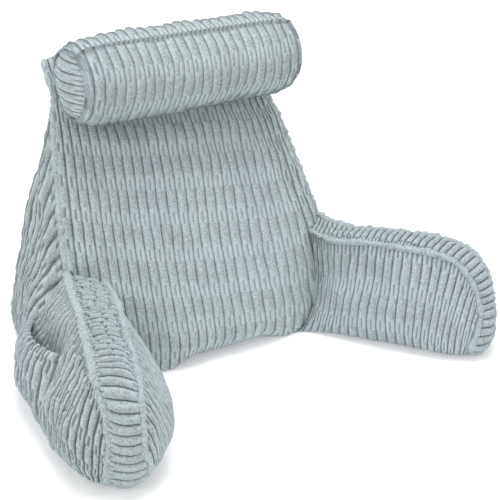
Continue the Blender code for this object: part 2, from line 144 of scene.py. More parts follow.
# Crumpled cloth has ribs that wander, swell and sink, and short creases across them.
WAVES = 12                  # sines that are added up for the noise
WAVE_SPREAD = (0.6, 1.5)
WAVE_HEIGHT = 2.2
RIB_APART = 0.37            # how far the noise moves on from one rib to the next
SHIFT_SIZE = 1.0
RIB_SWELL_SIZE = 1.3
STAGGER_SIZE = 0.9
SWAY_LENGTH = 0.11
CRUMPLE_SIZE = 0.030
CRUMPLED_SWAY = 0.0034
CRUMPLED_SHIFT = 0.02
CRUMPLED_SWELL = 0.35
SWELL_SIZE = 0.017
SWELL_STRETCH = (1.2, 1.0)
SWELL = 0.12
RIB_SWELL = 0.10
CREASE_DEPTH = 0.3
CREASE_WIDTH = 0.20
CREASE_STRETCH = (0.50, 1.0)

# The filling lies in lumps, and the seams draw the cloth in and have painted shade along them.
LUMP_SIZE = 0.085
LUMP_HEIGHT = 0.0030
SMALL_LUMP_SIZE = 0.035
SMALL_LUMP_HEIGHT = 0.0014
LUMP_FADE = 0.02
SEAM_PINCH = 0.0050
SEAM_PAINTED_SHADE = 0.40
PUCKER_SIZE = 0.018
PUCKER_DEPTH = 0.0022
PUCKER_FADE = 0.015
FLOOR_ROUND = 0.013
FRONT_FLOOR_ROUND = 0.039
FRONT_ROUND_FULL = 0.20
FRONT_ROUND_ENDS = 0.42
CREASE_ROUND = 0.003        # next to the crease, where the front and the arm meet on the floor
ROUND_LIMIT = 0.8
FLOOR_LAP = 0.022
LAP_RISE = 0.0005           # so that two laps which cross aren't in one plane
TUCK = 0.005


def smooth_curve(rows, shares):
    """Points at the given shares of a smooth curve through rows of (share, values)."""
    rows = np.asarray(rows, float)
    knots, values = rows[:, 0], rows[:, 1:]
    slopes = np.gradient(values, knots, axis=0)
    shares = np.clip(np.asarray(shares, float), knots[0], knots[-1])
    left = np.clip(np.searchsorted(knots, shares, side="right") - 1, 0, len(knots) - 2)
    width = (knots[left + 1] - knots[left])[..., None]
    f = (shares - knots[left])[..., None] / width
    start = (2 * f**3 - 3 * f**2 + 1) * values[left]
    leave = (f**3 - 2 * f**2 + f) * width * slopes[left]
    end = (3 * f**2 - 2 * f**3) * values[left + 1]
    arrive = (f**3 - f**2) * width * slopes[left + 1]
    return start + leave + end + arrive


def soft_step(value, start, end):
    """0 before start, 1 after end, and smooth between them."""
    f = np.clip((value - start) / (end - start), 0.0, 1.0)
    return f * f * (3.0 - 2.0 * f)


def drift(places, size, seed, waves=WAVES):
    """Smooth seeded random values of about -1 to 1, which change over the given size."""
    rng = np.random.default_rng(seed)
    turns = rng.normal(size=(waves, places.shape[-1]))
    turns *= rng.uniform(*WAVE_SPREAD, (waves, 1)) / np.linalg.norm(turns, axis=1, keepdims=True)
    phases = rng.uniform(0.0, 2.0 * np.pi, waves)
    return WAVE_HEIGHT * np.sin(2.0 * np.pi / size * places @ turns.T + phases).mean(axis=-1)


def rib_places(ribs):
    """Places across a panel of whole ribs, counted in ribs."""
    return np.append((np.arange(ribs)[:, None] + RIB_STEPS).ravel(), ribs)


def unit(vectors):
    return vectors / np.maximum(np.linalg.norm(vectors, axis=-1, keepdims=True), 1e-12)


def distance_along(points, axis):
    """How far each point of a grid is from its start, measured along that axis."""
    steps = np.linalg.norm(np.diff(points, axis=axis), axis=-1)
    zero = np.zeros_like(np.take(steps, [0], axis=axis))
    return np.cumsum(np.concatenate([zero, steps], axis=axis), axis=axis)


def block_run(count, level, split_at, crumple, seed):
    """Each rib's own place in the noise, and the length along it, which is shifted a little
    from one rib to the next."""
    one_rib = np.stack([np.floor(count) * RIB_APART, 0.0 * level], axis=-1)
    shift = BLOCK_SHIFT + CRUMPLED_SHIFT * crumple
    return one_rib, level - split_at - shift * drift(one_rib, SHIFT_SIZE, seed + 2)


def pile_height(count, level, one_rib, run, flatness, broken, crumple, seed):
    """Height of the pile, as a share of a rib's rise: split stretches, whole blocks with
    rounded tips, short staggered pieces, and everything that is uneven in it."""
    along = run % BLOCK_REPEAT
    split = soft_step(-along, -SPLIT_LENGTH - SPLIT_END, -SPLIT_LENGTH + SPLIT_END)
    split = split * soft_step(along, 0.0, SPLIT_START)
    phase = count % 1.0
    whole = (1.0 - np.abs(2.0 * phase - 1.0) ** flatness) ** RIB_ROUNDING
    whole = whole + SPLIT_FILLING * split * (1.0 - whole)
    middle = np.exp(-(((phase - 0.5) / SPLIT_GROOVE) ** 2))
    tip = np.exp(-(((BLOCK_REPEAT - along) / TIP_LENGTH) ** 2))
    pile = whole * (1.0 - SPLIT_FALL * split - TIP_FALL * tip) - SPLIT_DEPTH * split * middle

    cloth = np.stack([count * RIB_PITCH, level], axis=-1)
    uneven = SWELL * drift(cloth, CRUMPLE_SIZE, seed + 4)
    uneven = uneven + RIB_SWELL * drift(one_rib, RIB_SWELL_SIZE, seed + 5)
    swollen = drift(cloth * np.array(SWELL_STRETCH), SWELL_SIZE, seed + 9)
    uneven = uneven + CRUMPLED_SWELL * crumple * swollen
    pile = pile * (1.0 + uneven) + TUFT_RISE * drift(cloth, TUFT_SIZE, seed + 8, TUFT_WAVES)
    crease = drift(cloth * np.array(CREASE_STRETCH), CRUMPLE_SIZE, seed + 6)
    pile = pile - CREASE_DEPTH * crumple * whole * np.exp(-((crease / CREASE_WIDTH) ** 2))

    piece = (run + PIECE_STAGGER * drift(one_rib, STAGGER_SIZE, seed + 10)) / PIECE_LENGTH
    to_break = np.abs((piece + 0.5) % 1.0 - 0.5) * PIECE_LENGTH
    return pile - PIECE_CUT_DEPTH * broken * whole * np.exp(-((to_break / PIECE_CUT) ** 2))


def round_to_floor(points, normal, floor_round):
    """How far the cloth goes in under its panel where it nears the floor."""
    level_out = normal * np.array([1.0, 1.0, 0.0])
    level_out = level_out / np.maximum(np.linalg.norm(level_out, axis=-1, keepdims=True), 0.5)
    low = np.clip(1.0 - points[..., 2] / floor_round, 0.0, 1.0)
    under = floor_round * (1.0 - np.sqrt(1.0 - low**2))
    return level_out * np.minimum(under, ROUND_LIMIT * floor_round)[..., None]


def raise_plush(
    points,
    rib,
    facing,
    edges,
    seed,
    crumple,
    level=None,
    split_at=0.0,
    sway=0.0012,
    rise=RIB_RISE,
    flatness=3.0,
    broken=0.0,
    seam_pinch=SEAM_PINCH,
    floor_round=FLOOR_ROUND,
):
    """Raises the ribs of the plush on a panel and turns its edges in.

    edges says what the ribs' start and end and the first and last rib are: sewn, floor,
    joined or lip. level is the length at which the marks along the ribs are placed, and
    broken says how far the ribs are broken up into short staggered pieces.
    Returns the points, and for each of them the marks its material reads: the height of
    the pile, the count of ribs, the length along them and how crumpled they are."""
    count = (rib if rib.ndim == 2 else rib[:, None]) + np.zeros(points.shape[:2])
    across = np.gradient(points, axis=0)
    pitch = np.linalg.norm(across, axis=-1) / np.gradient(count, axis=0)
    across = unit(across)
    normal = facing * unit(np.cross(across, np.gradient(points, axis=1)))
    length = distance_along(points, 1)
    width = distance_along(points, 0)
    apart = dict(zip(range(4), (length, length[:, -1:] - length, width, width[-1:] - width)))
    far = np.full_like(length, 1.0)
    to_seam = np.minimum.reduce([far] + [apart[n] for n in apart if edges[n] == "sewn"])
    to_edge = np.minimum.reduce([far] + [apart[n] for n in apart if edges[n] in ("sewn", "floor")])
    pinch = 1.0 - np.exp(-((to_seam / seam_pinch) ** 2))
    inside = 1.0 - np.exp(-((to_edge / LUMP_FADE) ** 2))

    level = (length if level is None else level) + 0.0 * length
    crumple = crumple + 0.0 * length
    one_rib, run = block_run(count, level, split_at, crumple, seed)
    pile = pile_height(count, level, one_rib, run, flatness, broken, crumple, seed)
    cloth = np.stack([count * RIB_PITCH, level], axis=-1)
    sideways = sway * drift(cloth, SWAY_LENGTH, seed)
    sideways = sideways + CRUMPLED_SWAY * crumple * drift(cloth, CRUMPLE_SIZE, seed + 1)

    lumps = LUMP_HEIGHT * drift(points, LUMP_SIZE, 11)
    lumps = lumps + SMALL_LUMP_HEIGHT * drift(points, SMALL_LUMP_SIZE, 12)
    pucker = PUCKER_DEPTH * np.exp(-to_seam / PUCKER_FADE) * drift(points, PUCKER_SIZE, seed + 7)
    height = pinch * (RIB_BASE + np.minimum(rise, STEEPEST_RISE * pitch) * pile + pucker) + inside * lumps
    raised = points + normal * height[..., None] + across * (sideways * inside)[..., None]
    raised -= round_to_floor(points, normal, floor_round)
    # The pile's height that the material reads is lowered near the seams, which paints shade along them.
    shown = np.clip(pile, 0.0, 1.0) * (1.0 - SEAM_PAINTED_SHADE + SEAM_PAINTED_SHADE * pinch)
    marks = np.stack([shown, count, run, crumple], axis=-1)
    return turn_edges(raised, normal, marks, edges)


def turn_edges(points, normal, marks, edges):
    """Adds the seam allowance inside each sewn edge, and a lap under the base at the floor."""
    for edge, axis, place in zip(edges, (1, 1, 0, 0), (0, -1, 0, -1)):
        if edge not in ("sewn", "floor"):
            continue
        line = np.take(points, [place], axis=axis)
        inward = np.take(normal, [place], axis=axis)
        if edge == "sewn":
            turned = line - TUCK * inward
        else:
            turned = line - FLOOR_LAP * unit(inward * np.array([1.0, 1.0, 0.0]))
            turned[..., 2] = np.maximum(turned[..., 2], 0.0) + LAP_RISE
        order = 1 if place == 0 else -1
        rim = np.take(marks, [place], axis=axis)
        points = np.concatenate([turned, points][::order], axis=axis)
        normal = np.concatenate([inward, normal][::order], axis=axis)
        marks = np.concatenate([rim, marks][::order], axis=axis)
    return points, marks


def cloth_mesh(name, points, marks, facing):
    """A smooth mesh of the grid, which carries its marks for the material."""
    columns, rows = points.shape[:2]
    index = np.arange(columns * rows).reshape(columns, rows)
    corners = [index[:-1, :-1], index[1:, :-1], index[1:, 1:], index[:-1, 1:]]
    faces = np.stack(corners[:: int(facing)], axis=-1).reshape(-1, 4)
    mesh = bpy.data.meshes.new(name)
    points = points + PLAN_TO_FRAME
    points[..., 2] = np.maximum(points[..., 2], 0.0)
    mesh.from_pydata(points.reshape(-1, 3), [], faces)
    for place, label in enumerate(("pile_height", "rib_count", "rib_run", "crumple")):
        attribute = mesh.attributes.new(label, "FLOAT", "POINT")
        attribute.data.foreach_set("value", np.ascontiguousarray(marks[..., place], np.float32).ravel())
    mesh.shade_smooth()
    piece = bpy.data.objects.new(name, mesh)
    bpy.context.scene.collection.objects.link(piece)
    return piece


def front_points(across, share):
    """Points of the front panel: across is -1 to 1, share runs from the top down."""
    across, share = np.broadcast_arrays(np.asarray(across, float), np.asarray(share, float))
    side = smooth_curve(SIDE_SEAM, share)
    middle = smooth_curve(FRONT_MIDDLE, share)
    crown = (1.0 - np.abs(across) ** FRONT_FLATNESS) ** FRONT_ROUNDING
    x = side[..., 0] * np.sin(across * FRONT_SPREAD) / np.sin(FRONT_SPREAD)
    y = side[..., 1] + (middle[..., 0] - side[..., 1]) * crown
    z = side[..., 2] + (middle[..., 1] - side[..., 2]) * crown
    return np.stack([x, y, z], axis=-1)


def front_end_share(across):
    """Share of the front's length at which the rib at this place ends."""
    along_crease = (np.abs(across) - CREASE_ACROSS) / (ROOT_ACROSS - CREASE_ACROSS)
    return 1.0 - (1.0 - ARM_TOP_SHARE) * np.clip(along_crease, 0.0, 1.0) ** CREASE_CURVE


# The sides are drawn in below the top corners, and the front gives way to the neck roll.
DRAW_IN = 0.150
DRAW_IN_Z = 0.355
DRAW_IN_ABOVE = 0.035
DRAW_IN_BELOW = 0.125
DRAW_IN_Y = 0.165
DRAW_IN_DEPTH = 0.035
ROLL_Y = 0.113
ROLL_Z = 0.406
ROLL_RADIUS = 0.0645
ROLL_CLEARANCE = 0.0035


def draw_in(points):
    above = points[..., 2] - DRAW_IN_Z
    height = np.exp(-((above / np.where(above > 0.0, DRAW_IN_ABOVE, DRAW_IN_BELOW)) ** 2))
    depth = soft_step(points[..., 1], DRAW_IN_Y, DRAW_IN_Y + DRAW_IN_DEPTH)
    narrower = 1.0 - DRAW_IN * height * depth
    return points * np.stack([narrower, np.ones_like(depth), np.ones_like(depth)], axis=-1)


def clear_of_roll(points):
    y = points[..., 1] - ROLL_Y
    z = points[..., 2] - ROLL_Z
    distance = np.hypot(y, z)
    scale = np.maximum(1.0, (ROLL_RADIUS + ROLL_CLEARANCE) / distance)
    return np.stack([points[..., 0], ROLL_Y + y * scale, ROLL_Z + z * scale], axis=-1)


def line_across(line, share):
    """Place across the front of a rib, counted from -1 to 1: the ribs keep their pitch near
    the middle, and those at the sides are gathered where the panel is narrow."""
    side = smooth_curve(SIDE_SEAM, share)[..., 0]
    pitch = np.minimum(RIB_SPREAD / side, MOST_GATHERED)
    lean = RIB_LEAN * soft_step(share, LEAN_FROM, LEAN_TO)
    place = pitch * line + (1.0 - pitch) * line**3 - lean * (1.0 - line**2)
    return np.arcsin(place * np.sin(FRONT_SPREAD)) / FRONT_SPREAD


def middle_round(across):
    """How much more the front is rounded at the floor near its middle."""
    return FRONT_FLOOR_ROUND * soft_step(-np.abs(across), -FRONT_ROUND_ENDS, -FRONT_ROUND_FULL)


front_rib = rib_places(FRONT_LINES)
front_line = (front_rib / FRONT_LINES * 2.0 - 1.0)[:, None]
front_end = np.ones_like(front_line)
for settling_pass in range(FRONT_PASSES):
    front_end = 0.5 * (front_end + front_end_share(line_across(front_line, front_end)))
front_share = front_end * np.linspace(0.0, 1.0, FRONT_ROWS)
front_across = line_across(front_line + 0.0 * front_share, front_share)
front_grid = draw_in(clear_of_roll(front_points(front_across, front_share)))
front_level = front_share * FRONT_LENGTH - BLOCK_TILT * front_grid[..., 0]
front_crumple = FRONT_CRUMPLE + RIGHT_CRUMPLE * soft_step(front_across, *RIGHT_CRUMPLE_SPAN)
front_crumple = front_crumple + LEFT_CRUMPLE * soft_step(-front_across, *LEFT_CRUMPLE_SPAN)
front_crumple = front_crumple + LOW_CRUMPLE * soft_step(-front_grid[..., 2], -LOW_CRUMPLE_Z, 0.0)
panel_edges = ("sewn", "floor", "sewn", "sewn")
front_cloth, front_marks = raise_plush(
    front_grid,
    front_rib,
    -1,
    panel_edges,
    seed=20,
    crumple=front_crumple,
    level=front_level,
    split_at=FRONT_SPLIT_AT,
    sway=FRONT_SWAY,
    rise=FRONT_RISE,
    flatness=FRONT_RIB_FLATNESS,
    floor_round=CREASE_ROUND + middle_round(front_across),
)
front_panel = cloth_mesh("front_panel", clear_of_roll(front_cloth), front_marks, -1)


# The look of the plush. Its grain and patches are sizes in metres, and the widths of the
# painted shade along a groove are shares of the ribs' pitch.
MOST_CRUMPLE_SHOWN = 0.30
TUFT_GRAIN = 0.0030
FIBRE_GRAIN = 0.0017
PATCH_SIZE = 0.045
TINT_SIZE = 0.26
SPLIT_BLUR = 0.0005
GROOVE_WANDER = 0.02
TINT_SPAN = (0.40, 0.62)
# span of the pile's height over which the colour goes from the painted groove shade to the crest colour
PAINTED_SHADE_SPAN = (-0.40, 0.30)
BRUSHED_SHADES = (0.94, 1.05)
SPECKLE_SHADES = (-1.0, 0.30)
SPLIT_SPECKLE = 0.40
SPLIT_SHADE = 1.06
BLOCK_SHADE = 0.96
FIBRE_SHADES = (0.85, 1.15)
TUFT_RELIEF = 0.9
FIBRE_RELIEF = 0.4
OPEN_RELIEF = 0.8
STIPPLE_FADE = 0.047        # where along a rib the stipple of a block starts to fade
STIPPLE_END = 0.054
TIP_GROOVE_FROM = 0.0520
GROOVE_WIDTH = 0.060
TIP_GROOVE_WIDTH = 0.17
CRUMPLED_GROOVE_WIDTH = 0.45
# painted shade along each groove, and more of it where the cloth is crumpled
GROOVE_PAINTED_SHADE = 0.34
CRUMPLED_GROOVE_PAINTED_SHADE = 1.6
CRUMPLED_PAINTED_SHADE = 1.4
# painted light on one flank of each rib and painted shade on the other, stronger where the cloth is
# crumpled
FLANK_PAINTED_LIGHT = 0.08
CRUMPLED_FLANK_PAINTED_LIGHT = 0.24


def pile_group():
    """Colour and fine relief of ribbed plush: pale crests, painted shade in the grooves that is
    deeper where the cloth is crumpled, painted light on one flank of each rib and painted shade
    on the other, brushed patches and the stipple of its tufts."""
    group = bpy.data.node_groups.new("plush_pile", "ShaderNodeTree")
    sockets = group.interface
    for name, kind, value in (
        ("Crest Colour", "NodeSocketColor", (0.5, 0.5, 0.5, 1.0)),
        ("Painted Groove Shade", "NodeSocketColor", (0.1, 0.1, 0.1, 1.0)),
        ("Drift Colour", "NodeSocketColor", (0.5, 0.5, 0.6, 1.0)),
        ("Stipple", "NodeSocketFloat", 0.2),
    ):
        sockets.new_socket(name, in_out="INPUT", socket_type=kind).default_value = value
    sockets.new_socket("Colour", in_out="OUTPUT", socket_type="NodeSocketColor")
    sockets.new_socket("Relief", in_out="OUTPUT", socket_type="NodeSocketFloat")
    nodes, links = group.nodes, group.links
    given = nodes.new("NodeGroupInput")
    result = nodes.new("NodeGroupOutput")
    place = nodes.new("ShaderNodeTexCoord")

    def noise(size, detail, roughness=0.6):
        node = nodes.new("ShaderNodeTexNoise")
        node.inputs["Scale"].default_value = 1.0 / size
        node.inputs["Detail"].default_value = detail
        node.inputs["Roughness"].default_value = roughness
        links.new(place.outputs["Object"], node.inputs["Vector"])
        return node.outputs["Fac"]

    def ramp(source, low, high, start=0.0, end=1.0):
        node = nodes.new("ShaderNodeMapRange")
        for label, value in (("From Min", low), ("From Max", high), ("To Min", start), ("To Max", end)):
            node.inputs[label].default_value = value
        links.new(source, node.inputs["Value"])
        return node.outputs["Result"]

    def math(operation, *values):
        node = nodes.new("ShaderNodeMath")
        node.operation = operation
        for socket, value in zip(node.inputs, values):
            if isinstance(value, float):
                socket.default_value = value
            else:
                links.new(value, socket)
        return node.outputs["Value"]

    def blend(factor, first, second, kind="MIX"):
        node = nodes.new("ShaderNodeMix")
        node.data_type = "RGBA"
        node.blend_type = kind
        if isinstance(factor, float):
            node.inputs["Factor"].default_value = factor
        else:
            links.new(factor, node.inputs["Factor"])
        links.new(first, node.inputs["A"])
        links.new(second, node.inputs["B"])
        return node.outputs["Result"]

    def attribute(name):
        node = nodes.new("ShaderNodeAttribute")
        node.attribute_name = name
        return node.outputs["Fac"]

    height = attribute("pile_height")
    rib = attribute("rib_count")
    run = attribute("rib_run")
    crumple = math("MINIMUM", attribute("crumple"), MOST_CRUMPLE_SHOWN)
    tufts = noise(TUFT_GRAIN, 4.0, 0.75)
    fibres = noise(FIBRE_GRAIN, 2.0, 0.8)
    patches = noise(PATCH_SIZE, 2.0)
    tint = noise(TINT_SIZE, 1.0)

    # A stretch of each rib is split in two, and the block after it is stippled up to its
    # pale and rounded tip.
    along = math("FLOORED_MODULO", run, BLOCK_REPEAT)
    split = ramp(along, SPLIT_LENGTH - SPLIT_BLUR, SPLIT_LENGTH + SPLIT_BLUR, 1.0, 0.0)
    before_tip = ramp(along, STIPPLE_FADE, STIPPLE_END, 1.0, 0.0)
    block = math("MULTIPLY", math("SUBTRACT", 1.0, split), before_tip)
    to_groove = math("PINGPONG", rib, 0.5)
    to_split = math("PINGPONG", rib, 0.25)
    wander = ramp(tufts, 0.3, 0.7, -GROOVE_WANDER, GROOVE_WANDER)
    beside = math("ADD", to_groove, math("MULTIPLY", split, math("SUBTRACT", to_split, to_groove)))
    beside = math("ADD", beside, wander)
    wide = ramp(along, TIP_GROOVE_FROM, BLOCK_REPEAT, GROOVE_WIDTH, TIP_GROOVE_WIDTH)
    wide = math("ADD", wide, math("MULTIPLY", crumple, CRUMPLED_GROOVE_WIDTH))
    off_groove = ramp(math("DIVIDE", beside, wide), 0.10, 1.0)

    body = blend(ramp(tint, *TINT_SPAN), given.outputs["Crest Colour"], given.outputs["Drift Colour"])
    # Crumpled cloth gets more painted shade, as if its folds were in shadow.
    shaded_height = math("SUBTRACT", height, math("MULTIPLY", crumple, CRUMPLED_PAINTED_SHADE))
    # A line of painted shade runs along each groove, wider and darker where the cloth is crumpled.
    groove_painted_shade = math("ADD", math("MULTIPLY", crumple, CRUMPLED_GROOVE_PAINTED_SHADE), GROOVE_PAINTED_SHADE)
    groove_painted_shade = math("MULTIPLY", math("SUBTRACT", 1.0, off_groove), groove_painted_shade)
    crest = math("MULTIPLY", ramp(shaded_height, *PAINTED_SHADE_SPAN), math("SUBTRACT", 1.0, groove_painted_shade))
    # Where the pile is low, the colour goes from the crest colour to the painted groove shade.
    colour = blend(crest, given.outputs["Painted Groove Shade"], body)
    brushed = ramp(patches, 0.3, 0.7, *BRUSHED_SHADES)
    speckle = ramp(tufts, 0.30, 0.60, *SPECKLE_SHADES)
    stipple = math("MULTIPLY", given.outputs["Stipple"], ramp(block, 0.0, 1.0, SPLIT_SPECKLE, 1.0))
    speckle = math("MULTIPLY", speckle, stipple)
    pale = ramp(block, 0.0, 1.0, SPLIT_SHADE, BLOCK_SHADE)
    shade = math("MULTIPLY", math("MULTIPLY", brushed, pale), math("ADD", speckle, 1.0))
    shade = math("MULTIPLY", shade, ramp(fibres, 0.25, 0.75, *FIBRE_SHADES))
    # Painted light on one flank of each rib and painted shade on the other, as if lit from one side.
    turns = math("MULTIPLY", math("MULTIPLY", rib, 2.0 * pi), math("ADD", split, 1.0))
    flank_painted_light = math("ADD", math("MULTIPLY", crumple, CRUMPLED_FLANK_PAINTED_LIGHT), FLANK_PAINTED_LIGHT)
    flank_painted_light = math("MULTIPLY", math("SINE", turns), flank_painted_light)
    shade = math("MULTIPLY", shade, math("ADD", flank_painted_light, 1.0))
    grey = nodes.new("ShaderNodeCombineColor")
    for socket in grey.inputs[:3]:
        links.new(shade, socket)
    colour = blend(1.0, colour, grey.outputs["Color"], "MULTIPLY")
    relief = math("ADD", math("MULTIPLY", tufts, TUFT_RELIEF), math("MULTIPLY", fibres, FIBRE_RELIEF))
    relief = math("ADD", relief, math("MULTIPLY", off_groove, OPEN_RELIEF))
    links.new(colour, result.inputs["Colour"])
    links.new(relief, result.inputs["Relief"])
    return group


plush_pile = pile_group()

PILE_STIPPLE = 0.45
PILE_RELIEF = 0.0022
PILE_BUMP = 0.9
PILE_ROUGHNESS = 0.95
PILE_SPECULAR = 0.15
SHEEN = 0.25
SHEEN_ROUGHNESS = 0.5
SHEEN_TINT = (0.80, 0.90, 0.95, 1.0)
# The groove colours are painted shade. The material blends them in where the pile is low: in the grooves,
# creases and cuts and along the seams.
COVER_CREST = (0.480, 0.545, 0.555)
COVER_GROOVE_SHADE = (0.170, 0.205, 0.215)
COVER_DRIFT = (0.470, 0.535, 0.565)


def plush_material(name, crest, groove_shade, other):
    """Matt plush with the soft bright rim of a short pile."""
    material = bpy.data.materials.new(name)
    material.use_nodes = True
    nodes, links = material.node_tree.nodes, material.node_tree.links
    shader = nodes["Principled BSDF"]
    pile = nodes.new("ShaderNodeGroup")
    pile.node_tree = plush_pile
    pile.inputs["Crest Colour"].default_value = (*crest, 1.0)
    pile.inputs["Painted Groove Shade"].default_value = (*groove_shade, 1.0)
    pile.inputs["Drift Colour"].default_value = (*other, 1.0)
    pile.inputs["Stipple"].default_value = PILE_STIPPLE
    bump = nodes.new("ShaderNodeBump")
    bump.inputs["Strength"].default_value = PILE_BUMP
    bump.inputs["Distance"].default_value = PILE_RELIEF
    links.new(pile.outputs["Relief"], bump.inputs["Height"])
    links.new(bump.outputs["Normal"], shader.inputs["Normal"])
    links.new(pile.outputs["Colour"], shader.inputs["Base Color"])
    shader.inputs["Roughness"].default_value = PILE_ROUGHNESS
    shader.inputs["Specular IOR Level"].default_value = PILE_SPECULAR
    shader.inputs["Sheen Weight"].default_value = SHEEN
    shader.inputs["Sheen Roughness"].default_value = SHEEN_ROUGHNESS
    shader.inputs["Sheen Tint"].default_value = SHEEN_TINT
    return material


cover = plush_material("cover_plush", COVER_CREST, COVER_GROOVE_SHADE, COVER_DRIFT)


def dress(piece, material, node):
    """Gives a piece its cloth, hangs it on the root and hides the solid of the frame that it stands for.
    """
    piece.data.materials.append(material)
    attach(piece, "root")
    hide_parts(node)


dress(front_panel, cover, "pillow_body")

# ---------------------------------------------------------------------------------------
# Back of the back rest: the same plush with its ribs upright, sewn to the front along the
# rear top edge and to the sides at the rear corners. It bulges most low down.
# ---------------------------------------------------------------------------------------
BACK_BULGE = 0.026
BACK_LOW = 0.80
REAR_FLOOR_X = 0.232
REAR_FLOOR_Y = 0.252
REAR_FLOOR_CROWN = 0.010
CORNER_BULGE = 0.004
CORNER_FADE = 6
BULGE_LOW = 1.45
BULGE_FULL = 0.75
BACK_ROWS = 120
BACK_CRUMPLE = 0.12


def bulge_shape(share, low=BULGE_LOW):
    """0 at both seams of a panel and 1 at its fullest place."""
    share = np.clip(share, 0.0, 1.0)
    return np.sin(np.pi * share**low).clip(0.0) ** BULGE_FULL


def corner_push(nearness, down):
    """The filling also pushes the rear corner seam out a little."""
    amount = CORNER_BULGE * np.clip(nearness, 0.0, 1.0) ** CORNER_FADE * bulge_shape(down)
    return np.stack([amount, amount, 0.0 * amount], axis=-1)


def back_points(across, down):
    across, down = np.broadcast_arrays(across, down)
    tops = front_points(across, 0.0)
    x = REAR_FLOOR_X * np.sin(across * FRONT_SPREAD) / np.sin(FRONT_SPREAD)
    y = REAR_FLOOR_Y + REAR_FLOOR_CROWN * (1.0 - across**2)
    floor = np.stack([x, y, 0.0 * x], axis=-1)
    crown = (1.0 - np.abs(across) ** FRONT_FLATNESS) ** FRONT_ROUNDING
    points = tops * (1.0 - down[..., None]) + floor * down[..., None]
    points[..., 1] += BACK_BULGE * crown * bulge_shape(down, BACK_LOW)
    left = corner_push(-across, down) * np.array([-1.0, 1.0, 1.0])
    return points + corner_push(across, down) + left


back_rib = rib_places(FRONT_RIBS)
back_across = back_rib / FRONT_RIBS * 2.0 - 1.0
back_grid = draw_in(back_points(back_across[:, None], np.linspace(0.0, 1.0, BACK_ROWS)))
back_cloth = raise_plush(back_grid, back_rib, 1, panel_edges, seed=30, crumple=BACK_CRUMPLE)
back_panel = cloth_mesh("back_panel", *back_cloth, 1)
dress(back_panel, cover, "pillow_body")

# ---------------------------------------------------------------------------------------
# Sides: each is one panel for the side of the back rest and the outside of its arm, whose
# ribs fan out from the short seam at the top to the long floor line. The filling was
# pushed in by hand, so the left arm is longer and fuller than the right one.
# ---------------------------------------------------------------------------------------
SIDE_RIBS = 10
ARM_RIBS = 24
OUTER_RIBS = SIDE_RIBS + ARM_RIBS
OUTER_ROWS = 110
OUTER_LENGTH = 0.19
OUTER_LINES = 33            # ribs which show: they lean forwards near the tip
OUTER_LEAN = 1.5
SIDE_BOLDNESS = 0.40        # the back rest's side has bolder ribs, which lean backwards
SIDE_SWEEP = 0.62
SIDE_SHARE = 0.35
OUTER_PASSES = 40           # in which the places of its ribs are settled
OUTER_SWAY = 0.0030
OUTER_RISE = 0.0046
OUTER_RIB_FLATNESS = 2.8
OUTER_CRUMPLE = 0.18
SIDE_CRUMPLE = 0.14         # more on the side of the back rest, and near the tip
TIP_CRUMPLE = 0.10
SIDE_BROKEN = 0.45
TIP_BROKEN = 0.30
# Spans are counted in ribs from the root of the arm: backwards from it for the side of the
# back rest, and forwards for the tip.
SIDE_CRUMPLE_SPAN = (-2.0, 3.0)
TIP_CRUMPLE_SPAN = (8.0, 14.0)
SIDE_BROKEN_SPAN = (-7.0, -1.0)
TIP_BROKEN_SPAN = (10.0, 15.0)
SIDE_FLOOR_SHARE = 0.36
OUTER_SEAM = {
    "left": (
        # share of the arm, x, y, z
        (0.12, 0.236, 0.017, 0.152),
        (0.27, 0.257, -0.042, 0.157),
        (0.40, 0.274, -0.094, 0.160),
        (0.52, 0.291, -0.140, 0.160),
        (0.73, 0.321, -0.223, 0.156),
        (0.80, 0.330, -0.248, 0.150),
        (0.85, 0.332, -0.264, 0.137),
        (0.91, 0.329, -0.271, 0.110),
        (1.00, 0.327, -0.270, 0.068),
    ),
    "right": (
        (0.12, 0.226, 0.026, 0.143),
        (0.25, 0.240, -0.026, 0.146),
        (0.36, 0.262, -0.062, 0.150),
        (0.47, 0.282, -0.098, 0.153),
        (0.58, 0.302, -0.133, 0.154),
        (0.70, 0.316, -0.178, 0.150),
        (0.78, 0.323, -0.200, 0.138),
        (0.87, 0.328, -0.219, 0.112),
        (1.00, 0.324, -0.236, 0.068),
    ),
}
OUTER_FLOOR = {
    "left": (
        # share, x, y
        (0.00, 0.232, 0.252),
        (0.10, 0.247, 0.200),
        (0.30, 0.276, 0.100),
        (0.47, 0.300, 0.010),
        (0.63, 0.319, -0.080),
        (0.79, 0.331, -0.165),
        (0.90, 0.335, -0.212),
        (0.95, 0.331, -0.235),
        (1.00, 0.318, -0.254),
    ),
    "right": (
        (0.00, 0.232, 0.252),
        (0.12, 0.248, 0.200),
        (0.34, 0.280, 0.100),
        (0.52, 0.304, 0.010),
        (0.70, 0.322, -0.080),
        (0.85, 0.329, -0.155),
        (0.94, 0.328, -0.198),
        (1.00, 0.316, -0.222),
    ),
}
OUTER_BULGE = (
    # share of the panel's ribs, bulge
    (0.00, 0.000),
    (0.12, -0.002),
    (0.22, 0.010),
    (0.32, 0.026),
    (0.60, 0.032),
    (0.85, 0.030),
    (1.00, 0.010),
)


def outer_top(side, rib):
    """Upper seam of a side: the front's edge, and then the arm's outer seam."""
    edge = front_points(1.0, ARM_TOP_SHARE * np.clip(rib / SIDE_RIBS, 0.0, 1.0))
    root = tuple(front_points(1.0, ARM_TOP_SHARE))
    arm = smooth_curve(((0.0,) + root,) + OUTER_SEAM[side], (rib - SIDE_RIBS) / ARM_RIBS)
    return np.where((rib < SIDE_RIBS)[..., None], edge, arm)


